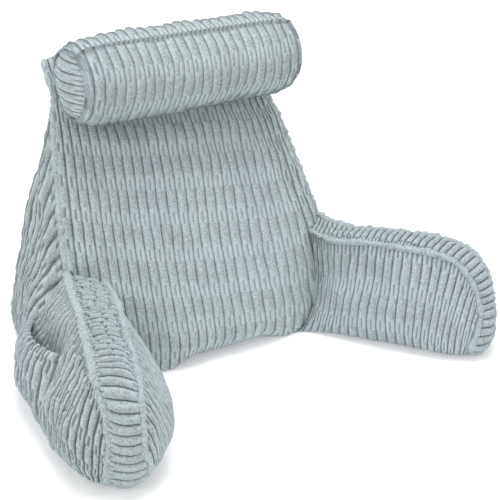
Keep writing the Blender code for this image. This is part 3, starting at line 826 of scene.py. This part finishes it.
def outer_floor(side, rib):
    """Line on which a side meets the floor."""
    rib = np.clip(rib, 0.0, OUTER_RIBS)
    under_side = SIDE_FLOOR_SHARE * rib / SIDE_RIBS
    under_arm = SIDE_FLOOR_SHARE + (1.0 - SIDE_FLOOR_SHARE) * (rib - SIDE_RIBS) / ARM_RIBS
    line = smooth_curve(OUTER_FLOOR[side], np.where(rib < SIDE_RIBS, under_side, under_arm))
    return np.concatenate([line, 0.0 * line[..., :1]], axis=-1)


def outward(line, rib):
    """Level direction that points away from the middle, square to a floor line."""
    along = line(rib + 0.5) - line(rib - 0.5)
    return unit(np.stack([-along[..., 1], along[..., 0], 0.0 * along[..., 0]], axis=-1))


def outer_points(side, rib, down):
    """Points of a side, with x measured towards the outside. down is 0 at its seam."""
    rib, down = np.broadcast_arrays(np.asarray(rib, float), np.asarray(down, float))
    tops = outer_top(side, rib)
    floor = outer_floor(side, rib)
    share = rib / OUTER_RIBS
    push = outward(lambda places: outer_floor(side, places), rib)
    bulge = smooth_curve(OUTER_BULGE, share)[..., 0] * bulge_shape(down)
    points = tops * (1.0 - down[..., None]) + floor * down[..., None]
    return points + push * bulge[..., None] + corner_push(1.0 - share, down)


# The left side gives way behind its phone pocket, which is placed by ribs and by eighths
# of the way down.
EIGHTHS = 8.0
POCKET_REAR_RIB = 9.5
POCKET_FRONT_RIB = 22.5
POCKET_REAR_LIP = 3.7
POCKET_FRONT_LIP = 0.6
POCKET_LIP_SAG = 0.26
POCKET_BOTTOM = 7.3
POCKET_SINK = 0.0050
POCKET_MOUTH_SINK = 0.0090
POCKET_SINK_ABOVE = 2.2
POCKET_FADE = 0.026
EIGHTH = 0.020
MOUTH_SKEW = 1.25           # the mouth gapes most a little nearer its front end
MOUTH_ROUNDING = 1.3


def lip_place(rib):
    """How far down, in eighths, the pocket's mouth crosses a rib."""
    share = (POCKET_FRONT_RIB - rib) / (POCKET_FRONT_RIB - POCKET_REAR_RIB)
    fall = np.clip(share, 0.0, 1.0) ** POCKET_LIP_SAG
    return POCKET_FRONT_LIP + (POCKET_REAR_LIP - POCKET_FRONT_LIP) * fall


def mouth_shape(rib, eighths):
    """1 in the middle of the pocket's lip, 0 along its sewn sides and bottom."""
    share = (rib - POCKET_REAR_RIB) / (POCKET_FRONT_RIB - POCKET_REAR_RIB)
    across = np.sin(np.pi * np.clip(share, 0.0, 1.0) ** MOUTH_SKEW).clip(0.0) ** MOUTH_ROUNDING
    down = (eighths - lip_place(rib)) / (POCKET_BOTTOM - lip_place(rib))
    return across * (1.0 - np.clip(np.abs(down), 0.0, 1.0) ** 2)


def inside_pocket(rib, eighths):
    """0 on the pocket's sewn sides and bottom, and 1 well inside them."""
    to_side = np.minimum(rib - POCKET_REAR_RIB, POCKET_FRONT_RIB - rib) * RIB_PITCH
    return soft_step(np.minimum(to_side, (POCKET_BOTTOM - eighths) * EIGHTH), 0.0, POCKET_FADE)


def pocket_sink(rib, eighths):
    """How far the filling gives way behind the pocket and a little above its mouth."""
    above = soft_step(eighths - lip_place(rib), -POCKET_SINK_ABOVE, 0.0)
    above = above * np.clip(2.0 * eighths, 0.0, 1.0)
    depth = POCKET_SINK + POCKET_MOUTH_SINK * mouth_shape(rib, eighths)
    return inside_pocket(rib, eighths) * above * depth


def placed(points, side):
    """A left piece is the mirror image of one whose x points to the outside."""
    return points * np.array([-1.0 if side == "left" else 1.0, 1.0, 1.0])


def outer_line(place, down):
    """Count of the rib that shows at a place of a side."""
    share = place / OUTER_RIBS
    beside = share * np.exp(-((share / SIDE_SHARE) ** 2)) * (SIDE_BOLDNESS - SIDE_SWEEP * down)
    return OUTER_LINES * (share - beside - OUTER_LEAN * share**4 * (1.0 - share) * down)


outer_rib = rib_places(OUTER_LINES)
outer_down = np.linspace(0.0, 1.0, OUTER_ROWS)
outer_place = OUTER_RIBS / OUTER_LINES * outer_rib[:, None] + 0.0 * outer_down
for settling_pass in range(OUTER_PASSES):
    missing = outer_rib[:, None] - outer_line(outer_place, outer_down)
    outer_place = outer_place + 0.5 * missing * OUTER_RIBS / OUTER_LINES
for side, facing in (("left", -1), ("right", 1)):
    grid = outer_points(side, outer_place, outer_down)
    if side == "left":
        normal = unit(np.cross(np.gradient(grid, axis=0), np.gradient(grid, axis=1)))
        grid = grid - normal * pocket_sink(outer_place, EIGHTHS * outer_down)[..., None]
    along_arm = outer_place - SIDE_RIBS
    crumple = OUTER_CRUMPLE + SIDE_CRUMPLE * soft_step(-along_arm, *SIDE_CRUMPLE_SPAN)
    crumple = crumple + TIP_CRUMPLE * soft_step(along_arm, *TIP_CRUMPLE_SPAN)
    broken = SIDE_BROKEN * soft_step(-along_arm, *SIDE_BROKEN_SPAN)
    broken = broken + TIP_BROKEN * soft_step(along_arm, *TIP_BROKEN_SPAN)
    outer_cloth = raise_plush(
        draw_in(placed(grid, side)),
        outer_rib,
        facing,
        panel_edges,
        seed=40,
        crumple=crumple,
        level=OUTER_LENGTH * outer_down,
        sway=OUTER_SWAY,
        rise=OUTER_RISE,
        flatness=OUTER_RIB_FLATNESS,
        broken=broken,
    )
    outer_panel = cloth_mesh(side + "_side_panel", *outer_cloth, facing)
    dress(outer_panel, cover, "pillow_body")

# ---------------------------------------------------------------------------------------
# Insides of the arms: a panel on each arm from the crease beside the front to the tip,
# with its ribs upright and its fullest place low down.
# ---------------------------------------------------------------------------------------
INNER_ROWS = 62
INNER_LEAN = 0.70           # the ribs lean towards the tip on their way down
INNER_RISE = 0.0036
INNER_CRUMPLE = 0.04
SEAM_CRUMPLE = 0.14
SEAM_CRUMPLE_SHARE = 0.4
CREASE_CRUMPLE = 0.40
CREASE_CRUMPLE_SHARE = 0.14
CREASE_ROUND_SHARE = 0.15
CREASE_DRAW = 5             # how steeply the draw to the crease falls off along the arm
INNER_FULLNESS = {"left": 1.15, "right": 0.80}
INNER_SEAM = {
    "left": (
        # share of the arm, x, y, z
        (0.09, 0.187, -0.012, 0.141),
        (0.25, 0.209, -0.073, 0.150),
        (0.39, 0.232, -0.130, 0.156),
        (0.52, 0.251, -0.178, 0.159),
        (0.68, 0.275, -0.244, 0.159),
        (0.77, 0.286, -0.275, 0.152),
        (0.84, 0.294, -0.294, 0.136),
        (0.91, 0.296, -0.302, 0.109),
        (1.00, 0.294, -0.298, 0.068),
    ),
    "right": (
        (0.15, 0.184, -0.024, 0.139),
        (0.29, 0.201, -0.070, 0.148),
        (0.38, 0.218, -0.096, 0.150),
        (0.50, 0.237, -0.131, 0.151),
        (0.62, 0.262, -0.166, 0.150),
        (0.73, 0.281, -0.198, 0.141),
        (0.80, 0.289, -0.215, 0.126),
        (0.90, 0.296, -0.231, 0.098),
        (1.00, 0.297, -0.241, 0.068),
    ),
}
INNER_FLOOR = {
    "left": (
        # share, x, y
        (0.20, 0.160, -0.046),
        (0.42, 0.202, -0.110),
        (0.62, 0.232, -0.168),
        (0.78, 0.254, -0.212),
        (0.90, 0.273, -0.240),
        (1.00, 0.290, -0.258),
    ),
    "right": (
        (0.20, 0.158, -0.050),
        (0.44, 0.200, -0.106),
        (0.64, 0.234, -0.156),
        (0.80, 0.256, -0.190),
        (0.91, 0.272, -0.214),
        (1.00, 0.288, -0.228),
    ),
}
INNER_BULGE = (
    # share of the panel's ribs, bulge
    (0.00, 0.000),
    (0.20, 0.022),
    (0.50, 0.036),
    (0.80, 0.034),
    (1.00, 0.014),
)


def crease_points(down):
    """Crease between the front and the inside of an arm."""
    across = ROOT_ACROSS + (CREASE_ACROSS - ROOT_ACROSS) * down
    return front_points(across, front_end_share(across))


def inner_floor(side, rib):
    start = (0.0,) + tuple(crease_points(1.0)[:2])
    line = smooth_curve((start,) + INNER_FLOOR[side], np.clip(rib / ARM_RIBS, 0.0, 1.0))
    return np.concatenate([line, 0.0 * line[..., :1]], axis=-1)


def inner_spread(side, rib, down):
    """The inside of an arm before its root is drawn to the crease."""
    rib, down = np.broadcast_arrays(np.asarray(rib, float), np.asarray(down, float))
    share = rib / ARM_RIBS
    start = (0.0,) + tuple(crease_points(0.0))
    tops = smooth_curve((start,) + INNER_SEAM[side], share)
    floor = inner_floor(side, rib)
    push = -outward(lambda places: inner_floor(side, places), rib)
    bulge = INNER_FULLNESS[side] * smooth_curve(INNER_BULGE, share)[..., 0] * bulge_shape(down)
    points = tops * (1.0 - down[..., None]) + floor * down[..., None]
    return points + push * bulge[..., None]


def inner_points(side, rib, down):
    rib, down = np.broadcast_arrays(np.asarray(rib, float), np.asarray(down, float))
    to_crease = crease_points(down) - inner_spread(side, 0.0 * rib, down)
    near = (1.0 - rib / ARM_RIBS) ** CREASE_DRAW
    return inner_spread(side, rib, down) + to_crease * near[..., None]


inner_rib = rib_places(ARM_RIBS)
inner_down = np.linspace(0.0, 1.0, INNER_ROWS)
inner_share = inner_rib[:, None] / ARM_RIBS
inner_lean = ARM_RIBS * INNER_LEAN * inner_share**2 * (1.0 - inner_share) * inner_down
inner_place = inner_rib[:, None] + inner_lean
inner_crumple = INNER_CRUMPLE + SEAM_CRUMPLE * soft_step(-inner_down, -SEAM_CRUMPLE_SHARE, 0.0)
inner_crumple = inner_crumple + CREASE_CRUMPLE * soft_step(-inner_share, -CREASE_CRUMPLE_SHARE, 0.0)
from_crease = soft_step(inner_share, 0.0, CREASE_ROUND_SHARE)
inner_round = CREASE_ROUND + (FLOOR_ROUND - CREASE_ROUND) * from_crease
for side, facing in (("left", 1), ("right", -1)):
    inner_cloth = raise_plush(
        draw_in(placed(inner_points(side, inner_place, inner_down), side)),
        inner_rib,
        facing,
        panel_edges,
        seed=50 + facing,
        crumple=inner_crumple,
        sway=FRONT_SWAY,
        rise=INNER_RISE,
        flatness=FRONT_RIB_FLATNESS,
        floor_round=inner_round,
    )
    inner_panel = cloth_mesh(side + "_inner_panel", *inner_cloth, facing)
    dress(inner_panel, cover, "pillow_body")

# ---------------------------------------------------------------------------------------
# Bands: the strip along the top of each arm, whose ribs run across it. It starts where the
# front's outer ribs end, and turns down over the tip to the floor.
# ---------------------------------------------------------------------------------------
TIP_RIBS = 4
BAND_RIBS = ARM_RIBS + TIP_RIBS
BAND_CROWN = 0.008
BAND_ROWS = 64
BAND_GATHERED_RIBS = 39
BAND_CROWDING = 0.06        # how much narrower than the others its ribs are at the root
BAND_ROUNDING = 0.8
BAND_ROOT_DRAW = 8
BAND_SPLIT_AT = -0.0085
BAND_RISE = 0.0056
BAND_RIB_FLATNESS = 2.6
BAND_CRUMPLE = 0.05
BROKEN_CRUMPLE = 0.10
BROKEN_TO = 13.0            # the ribs are broken up as far as here, and whole from the next
WHOLE_FROM = 20.0
FLOOR_FADE = 0.03


def band_edge(points_of, start_rib, side, rib):
    """One seam of a band, along the arm and then down its tip."""
    along = start_rib + np.clip(rib, 0.0, ARM_RIBS)
    down = np.clip((rib - ARM_RIBS) / TIP_RIBS, 0.0, 1.0)
    return points_of(side, along, down)


def band_points(side, rib, width):
    """Points of a band: width is 0 at its outer seam and 1 at its inner one."""

    def outer(places):
        return band_edge(outer_points, SIDE_RIBS, side, np.clip(places, 0.0, BAND_RIBS))

    def inner(places):
        return band_edge(inner_points, 0.0, side, np.clip(places, 0.0, BAND_RIBS))

    along = outer(rib + 0.5) + inner(rib + 0.5) - outer(rib - 0.5) - inner(rib - 0.5)
    up = unit(np.cross(inner(rib) - outer(rib), along))
    lift = up * (BAND_CROWN * np.sin(np.pi * width) ** BAND_ROUNDING)[..., None]
    points = outer(rib) * (1.0 - width[..., None]) + inner(rib) * width[..., None]
    lift[..., 2] *= soft_step(points[..., 2], 0.0, FLOOR_FADE)
    points = points + lift
    root_across = 1.0 + (ROOT_ACROSS - 1.0) * width
    root = front_points(root_across, front_end_share(root_across))
    near = (1.0 - rib / BAND_RIBS) ** BAND_ROOT_DRAW
    return points + (root - points[:1]) * near[..., None]


band_rib = rib_places(BAND_GATHERED_RIBS)
band_share = band_rib / BAND_GATHERED_RIBS
band_place = BAND_RIBS * band_share * (1.0 - BAND_CROWDING * (1.0 - band_share))
band_width = np.linspace(0.0, 1.0, BAND_ROWS)
band_broken = soft_step(-band_place, -WHOLE_FROM, -BROKEN_TO)[:, None]
band_edges = ("sewn", "sewn", "sewn", "floor")
for side, facing in (("left", 1), ("right", -1)):
    rib, width = np.broadcast_arrays(band_place[:, None], band_width)
    band_cloth = raise_plush(
        draw_in(placed(band_points(side, rib, width), side)),
        band_rib,
        facing,
        band_edges,
        seed=60 + facing,
        crumple=BAND_CRUMPLE + BROKEN_CRUMPLE * band_broken,
        split_at=BAND_SPLIT_AT,
        rise=BAND_RISE,
        flatness=BAND_RIB_FLATNESS,
        broken=band_broken,
    )
    band_panel = cloth_mesh(side + "_band_panel", *band_cloth, facing)
    dress(band_panel, cover, "pillow_body")

# ---------------------------------------------------------------------------------------
# Welts: the seam allowances of the arms and of the back rest's edges are turned and puff
# out as a crumpled ridge between the panels.
# ---------------------------------------------------------------------------------------
WELT_SIDES = 12
WELT_STEP = 0.0025
WELT_LOWEST = 0.009
WELT_PUFF = 0.30
WELT_PUFF_SIZE = 0.014
WELT_TUFT = 0.20
WELT_TUFT_SIZE = 0.007
WELT_NIP = 0.22
WELT_SWAY = 0.0010
WELT_SWAY_LENGTH = 0.03
SIDE_WELT_RADIUS = 0.0043
OUTER_WELT_RADIUS = 0.0060
INNER_WELT_RADIUS = 0.0046
REAR_WELT_RADIUS = 0.0036
TOP_WELT_RADIUS = 0.0026
WELT_PILE = 0.80
# painted shade where a welt is nipped in
WELT_NIP_PAINTED_SHADE = 1.1
ASIDE = (0.31, 0.22, 0.93)  # a direction that none of the seams runs in
SIDE_SEAM_POINTS = 120
ARM_SEAM_POINTS = 300
EDGE_POINTS = 200
EVEN_COUNT = 0.25
EVEN_RUN = 1.4 * SPLIT_LENGTH


def even_path(points, step):
    """The same line with points at an even distance."""
    run = np.concatenate([[0.0], np.cumsum(np.linalg.norm(np.diff(points, axis=0), axis=1))])
    places = np.linspace(0.0, run[-1], max(2, int(run[-1] / step)))
    return np.stack([np.interp(places, run, points[:, axis]) for axis in range(3)], axis=-1)


def even_marks(like):
    """Marks of cloth without ribs, which are those of uncrumpled cloth a quarter of the way
    across a rib, in a whole block. The height of the pile isn't one of them."""
    return np.full_like(like, EVEN_COUNT), np.full_like(like, EVEN_RUN), np.zeros_like(like)


def make_welt(name, path, radius, seed):
    """A crumpled tube of plush along a seam."""
    path = even_path(path[path[:, 2] > WELT_LOWEST], WELT_STEP)
    along = unit(np.gradient(path, axis=0))
    first = unit(np.cross(along, np.array(ASIDE)))
    second = np.cross(along, first)
    run = distance_along(path[None], 1)[0]
    angle = np.linspace(0.0, 2.0 * np.pi, WELT_SIDES + 1)
    ring = np.cos(angle)[None, :, None] * first[:, None] + np.sin(angle)[None, :, None] * second[:, None]
    spots = path[:, None] + radius * ring
    puff = 1.0 + WELT_PUFF * drift(spots, WELT_PUFF_SIZE, seed)
    puff = puff + WELT_TUFT * drift(spots, WELT_TUFT_SIZE, seed + 1)
    puff = puff - WELT_NIP * np.clip(drift(run[:, None, None], WELT_PUFF_SIZE, seed + 2), 0.0, 1.0)
    sway = WELT_SWAY * drift(path, WELT_SWAY_LENGTH, seed + 3)
    ends = np.minimum(1.0, np.minimum(run, run[-1] - run) / radius)[:, None]
    points = path[:, None] + (sway[:, None, None] + radius * (puff * ends)[..., None]) * ring
    points[:, -1] = points[:, 0]
    # Where a welt is nipped in, its pile mark is lower and it takes painted shade.
    pile = np.clip(WELT_PILE + WELT_NIP_PAINTED_SHADE * (puff - 1.0), 0.0, 1.0)
    marks = np.stack([pile, *even_marks(pile)], axis=-1)
    welt = cloth_mesh(name, points, marks, 1)
    dress(welt, cover, "pillow_body")


side_rib = np.linspace(0.0, SIDE_RIBS, SIDE_SEAM_POINTS)
arm_rib = np.linspace(0.0, BAND_RIBS, ARM_SEAM_POINTS)
rear_down = np.linspace(0.0, 1.0, EDGE_POINTS)
for side in ("left", "right"):
    seams = (
        ("side_welt", outer_points(side, side_rib, 0.0), SIDE_WELT_RADIUS),
        ("outer_welt", band_edge(outer_points, SIDE_RIBS, side, arm_rib), OUTER_WELT_RADIUS),
        ("inner_welt", band_edge(inner_points, 0.0, side, arm_rib), INNER_WELT_RADIUS),
        ("rear_welt", outer_points(side, 0.0, rear_down), REAR_WELT_RADIUS),
    )
    for count, (name, line, radius) in enumerate(seams):
        make_welt(side + "_" + name, draw_in(placed(line, side)), radius, seed=70 + count)

top_line = draw_in(front_points(np.linspace(-1.0, 1.0, EDGE_POINTS), 0.0))
make_welt("top_welt", top_line, TOP_WELT_RADIUS, seed=80)

# ---------------------------------------------------------------------------------------
# Phone pocket: a patch of the same plush, sewn to the outside of the left arm on three
# sides. Its mouth slants down to the rear and gapes, with a turned and scalloped lip.
# ---------------------------------------------------------------------------------------
POCKET_GAPE = 0.0150
POCKET_THICKNESS = 0.0040
POCKET_ROWS = 60
POCKET_COLUMNS = 200
POCKET_LIP_ROWS = 8
POCKET_SCALLOP = 0.22
SCALLOP_SHARPNESS = 3
SCALLOP_FADE = 8
LIP_CROWDING = 1.3          # rows of points are closer together near the lip
LIP_AIM_ROW = 4             # the lip is turned over away from this row
POCKET_TUCK = 0.0020
POCKET_CRUMPLE = 0.30
POCKET_RISE = 0.0050
POCKET_CREST = (0.480, 0.545, 0.560)
# painted shade for the pocket's grooves
POCKET_GROOVE_SHADE = (0.170, 0.205, 0.220)
POCKET_DRIFT = (0.460, 0.525, 0.580)
HEM = 0.0018
HEM_PLACE = 0.006
HEM_WIDTH = 0.005

pocket_plush = plush_material("pocket_plush", POCKET_CREST, POCKET_GROOVE_SHADE, POCKET_DRIFT)


def pocket_surface(rib, eighths, thickness):
    """Points over the outside of the left arm: the pocket rises out of it at its sewn
    edges, and stands off it at its mouth."""
    reach = 0.02

    def arm(ribs, eighths):
        return outer_points("left", ribs, eighths / EIGHTHS)

    across = arm(rib + reach, eighths) - arm(rib - reach, eighths)
    normal = unit(np.cross(across, arm(rib, eighths + reach) - arm(rib, eighths - reach)))
    proud = -POCKET_TUCK + (thickness + POCKET_TUCK) * inside_pocket(rib, eighths)
    proud = proud + POCKET_GAPE * mouth_shape(rib, eighths)
    return arm(rib, eighths) + normal * proud[..., None], normal


pocket_place = np.linspace(POCKET_REAR_RIB, POCKET_FRONT_RIB, POCKET_COLUMNS)
pocket_down = np.linspace(0.0, 1.0, POCKET_ROWS) ** LIP_CROWDING
rib, share = np.broadcast_arrays(pocket_place[:, None], pocket_down)
lip = lip_place(rib)
lip_rib = outer_line(rib, lip / EIGHTHS)
scallop = np.abs(2.0 * (lip_rib % 1.0) - 1.0) ** SCALLOP_SHARPNESS - 0.5
lip = lip + POCKET_SCALLOP * scallop * (1.0 - share) ** SCALLOP_FADE
eighths = lip + (POCKET_BOTTOM - lip) * share
face, face_normal = pocket_surface(rib, eighths, POCKET_THICKNESS)
hem = HEM * np.exp(-(((distance_along(face, 1) - HEM_PLACE) / HEM_WIDTH) ** 2))
face = placed(face + face_normal * hem[..., None], "left")
pocket_edges = ("lip", "joined", "joined", "joined")
face, face_marks = raise_plush(
    face,
    outer_line(rib, eighths / EIGHTHS),
    -1,
    pocket_edges,
    seed=40,
    crumple=POCKET_CRUMPLE,
    level=OUTER_LENGTH / EIGHTHS * eighths,
    sway=OUTER_SWAY,
    rise=POCKET_RISE,
    flatness=OUTER_RIB_FLATNESS,
)
lining = placed(pocket_surface(rib, eighths, 0.0)[0], "left")
round_lip = np.linspace(0.0, 1.0, POCKET_LIP_ROWS)[1:-1][None, :, None]
over = unit(face[:, :1] - face[:, [LIP_AIM_ROW]]) * HEM * np.sin(np.pi * round_lip)
lip_roll = lining[:, :1] * (1.0 - round_lip) + face[:, :1] * round_lip + over
pocket_points = np.concatenate([lining[:, ::-1], lip_roll, face], axis=1)
lip_marks = np.repeat(face_marks[:, :1], lip_roll.shape[1], axis=1)
pocket_marks = np.concatenate([face_marks[:, ::-1], lip_marks, face_marks], axis=1)
pocket_patch = cloth_mesh("pocket_patch", pocket_points, pocket_marks, -1)
dress(pocket_patch, pocket_plush, "phone_pocket")

# ---------------------------------------------------------------------------------------
# Neck roll: a firm tube of plush whose ribs run round it, closed along its upper front by
# a lengthwise seam, with a round piece in each end whose ribs are level.
# ---------------------------------------------------------------------------------------
ROLL_SHIFT_X = 0.004
ROLL_RIBS = 23
ROLL_ROWS = 150
ROLL_PROFILE = (
    # distance from the middle, radius
    (0.0000, 0.0628),
    (0.0900, 0.0624),
    (0.1480, 0.0610),
    (0.1640, 0.0584),
    (0.1730, 0.0538),
    (0.1765, 0.0480),
)
ROLL_SEAM_ANGLE = -0.50
ROLL_SEAM_RADIUS = 0.0480
ROLL_SEAM_PINCH = 0.0015
ROLL_SPLIT_AT = -0.0014
ROLL_SWAY = 0.0008
ROLL_RISE = 0.0032
ROLL_RIB_FLATNESS = 4.4
ROLL_CRUMPLE = 0.08
ROLL_GATHER_CRUMPLE = 0.14  # more where the cover is gathered round its ends
ROLL_GATHER_SPAN = (0.13, 0.17)
ROLL_END_DOME = 0.015
ROLL_END_INSET = 0.001
ROLL_END_REACH = 0.995
ROLL_END_RIBS = 7
ROLL_END_ROWS = 44
ROLL_END_RISE = 0.0036
ROLL_END_CRUMPLE = 0.06
ROLL_CREST = (0.495, 0.560, 0.570)
# painted shade for the roll's grooves
ROLL_GROOVE_SHADE = (0.180, 0.215, 0.225)
ROLL_DRIFT = (0.480, 0.545, 0.570)

roll_cover = plush_material("roll_plush", ROLL_CREST, ROLL_GROOVE_SHADE, ROLL_DRIFT)
roll_middle = np.array([ROLL_SHIFT_X, ROLL_Y, ROLL_Z])
roll_half = ROLL_PROFILE[-1][0]
roll_rib = rib_places(ROLL_RIBS)
station = (roll_rib / ROLL_RIBS * 2.0 - 1.0) * roll_half
roll_angle = ROLL_SEAM_ANGLE + np.linspace(0.0, 2.0 * np.pi, ROLL_ROWS)
radius = smooth_curve(ROLL_PROFILE, np.abs(station))
x, around = np.broadcast_arrays(station[:, None], roll_angle)
tube = np.stack([x, radius * np.sin(around), radius * np.cos(around)], axis=-1) + roll_middle
roll_crumple = ROLL_CRUMPLE + ROLL_GATHER_CRUMPLE * soft_step(np.abs(station), *ROLL_GATHER_SPAN)[:, None]
all_sewn = ("sewn", "sewn", "sewn", "sewn")

# The tube starts and ends at the middle of a rib.
tube_cloth = raise_plush(
    tube,
    roll_rib + 0.5,
    -1,
    all_sewn,
    seed=100,
    crumple=roll_crumple,
    split_at=ROLL_SPLIT_AT,
    sway=ROLL_SWAY,
    rise=ROLL_RISE,
    flatness=ROLL_RIB_FLATNESS,
    seam_pinch=ROLL_SEAM_PINCH,
)
roll_tube = cloth_mesh("roll_tube", *tube_cloth, -1)
dress(roll_tube, roll_cover, "neck_roll")

for name, sign in (("roll_left_end", -1), ("roll_right_end", 1)):
    end_rib = rib_places(ROLL_END_RIBS)
    level = (end_rib / ROLL_END_RIBS * 2.0 - 1.0)[:, None] * ROLL_END_REACH
    chord = np.sqrt(1.0 - level**2) * np.linspace(-1.0, 1.0, ROLL_END_ROWS)
    level = level + 0.0 * chord
    dome = ROLL_END_DOME * (1.0 - level**2 - chord**2)
    x = sign * (roll_half - ROLL_END_INSET + dome)
    disc = np.stack([x, ROLL_SEAM_RADIUS * chord, ROLL_SEAM_RADIUS * level], axis=-1)
    end_cloth = raise_plush(
        disc + roll_middle,
        end_rib,
        -sign,
        all_sewn,
        seed=110,
        crumple=ROLL_END_CRUMPLE,
        rise=ROLL_END_RISE,
        seam_pinch=ROLL_SEAM_PINCH,
    )
    roll_end = cloth_mesh(name, *end_cloth, -sign)
    dress(roll_end, roll_cover, "neck_roll")

# ---------------------------------------------------------------------------------------
# Base: a flat piece under the back rest, and one on each side that runs from its rear
# corner to the arm's tip. The edges of the other panels are turned in beneath them.
# ---------------------------------------------------------------------------------------
BASE_ACROSS = 0.93
BASE_COLUMNS = 60
BASE_STEPS = 25
BASE_INSET = 0.018
BASE_INSET_SHARE = 0.27
BASE_LIFT = 0.0006
BASE_PILE = 0.8
SIDE_BASE_LIFT = 0.0012     # the side pieces lap over the middle one
SIDE_BASE_ACROSS = 0.80
SIDE_BASE_SPAN = (0.05, 0.95, 30)
ARM_BASE_SPAN = (0.06, 0.985, BASE_COLUMNS)


def base_piece(name, first, last, height):
    """A flat piece between two lines, which stop short of the panels all round."""
    gap = np.linalg.norm(last - first, axis=-1, keepdims=True)
    inset = np.minimum(BASE_INSET / gap, BASE_INSET_SHARE)
    first, last = first + (last - first) * inset, last + (first - last) * inset
    share = np.linspace(0.0, 1.0, BASE_STEPS)[None, :, None]
    points = first[:, None] * (1.0 - share) + last[:, None] * share
    points[..., 2] = height
    even = np.full(points.shape[:2], BASE_PILE)
    piece = cloth_mesh(name, points, np.stack([even, *even_marks(even)], axis=-1), -1)
    dress(piece, cover, "pillow_body")


base_across = np.linspace(-BASE_ACROSS, BASE_ACROSS, BASE_COLUMNS)
front_line = front_points(base_across * CREASE_ACROSS, 1.0)
front_line[:, 1] += ROUND_LIMIT * middle_round(base_across * CREASE_ACROSS)
base_piece("back_rest_base", front_line, back_points(base_across, np.ones(BASE_COLUMNS)), BASE_LIFT)
rear_foot = back_points(np.array([SIDE_BASE_ACROSS]), np.ones(1))
front_foot = front_points(np.array([SIDE_BASE_ACROSS * CREASE_ACROSS]), 1.0)
side_share = np.linspace(*SIDE_BASE_SPAN)
arm_share = np.linspace(*ARM_BASE_SPAN)
outer_places = np.concatenate([SIDE_RIBS * side_share, SIDE_RIBS + ARM_RIBS * arm_share])
beside = rear_foot + (front_foot - rear_foot) * side_share[:, None]
for side, turn in (("left", -1), ("right", 1)):
    inner_line = np.concatenate([beside, inner_floor(side, ARM_RIBS * arm_share)])
    lines = [placed(line, side) for line in (outer_floor(side, outer_places), inner_line)]
    base_piece(side + "_arm_base", *lines[::turn], SIDE_BASE_LIFT)

# ---------------------------------------------------------------------------------------
# Floor, light and camera: a plain pale floor under a large soft light.
# ---------------------------------------------------------------------------------------
FLOOR_SIZE = 16.0
FLOOR_PLACE = (0.0, 0.0, -0.0004)
FLOOR_COLOUR = (0.93, 0.93, 0.93, 1.0)
FLOOR_ROUGHNESS = 0.9
FLOOR_SPECULAR = 0.1
FLOOR_GLOW = 0.22
STUDIO_WHITE = (1.0, 1.0, 1.0, 1.0)
STUDIO_STRENGTH = 0.78
KEY_PLACE = (0.1, 0.0, 3.0)
SIDE_LIGHT_PLACE = (-2.2, -1.0, 1.7)
LIGHT_TARGET = (0.0, 0.0, 0.1)
CAMERA_PLACE = (-0.9195, -1.4848, 0.885)
CAMERA_TURN = 33.0
CAMERA_DOWN = 22.5
CAMERA_LENS = 93.6

bpy.ops.mesh.primitive_plane_add(size=FLOOR_SIZE, location=FLOOR_PLACE)
floor = bpy.context.object
floor.name = "floor"
floor_paint = bpy.data.materials.new("pale_floor")
floor_paint.use_nodes = True
floor_shader = floor_paint.node_tree.nodes["Principled BSDF"]
floor_shader.inputs["Base Color"].default_value = FLOOR_COLOUR
floor_shader.inputs["Roughness"].default_value = FLOOR_ROUGHNESS
floor_shader.inputs["Specular IOR Level"].default_value = FLOOR_SPECULAR
floor_shader.inputs["Emission Color"].default_value = STUDIO_WHITE
floor_shader.inputs["Emission Strength"].default_value = FLOOR_GLOW
floor.data.materials.append(floor_paint)

studio = bpy.data.worlds.new("studio")
bpy.context.scene.world = studio
studio.use_nodes = True
sky = studio.node_tree.nodes["Background"]
sky.inputs["Color"].default_value = STUDIO_WHITE
sky.inputs["Strength"].default_value = STUDIO_STRENGTH
bpy.context.scene.view_settings.view_transform = "Standard"


def soft_light(name, place, size, power):
    lamp = bpy.data.lights.new(name, "AREA")
    lamp.shape = "DISK"
    lamp.size = size
    lamp.energy = power
    lamp_object = bpy.data.objects.new(name, lamp)
    bpy.context.scene.collection.objects.link(lamp_object)
    lamp_object.location = place
    aim = Vector(LIGHT_TARGET) - Vector(place)
    lamp_object.rotation_euler = aim.to_track_quat("-Z", "Y").to_euler()


soft_light("key_light", KEY_PLACE, size=1.8, power=50.0)
soft_light("side_light", SIDE_LIGHT_PLACE, size=1.0, power=8.0)

camera = bpy.data.cameras.new("camera")
camera.lens = CAMERA_LENS
camera.sensor_width = 36.0
camera_object = bpy.data.objects.new("camera", camera)
bpy.context.scene.collection.objects.link(camera_object)
camera_object.location = CAMERA_PLACE
turn, fall = np.radians(CAMERA_TURN), np.radians(CAMERA_DOWN)
look = Vector((np.sin(turn) * np.cos(fall), np.cos(turn) * np.cos(fall), -np.sin(fall)))
camera_object.rotation_euler = look.to_track_quat("-Z", "Y").to_euler()
bpy.context.scene.camera = camera_object
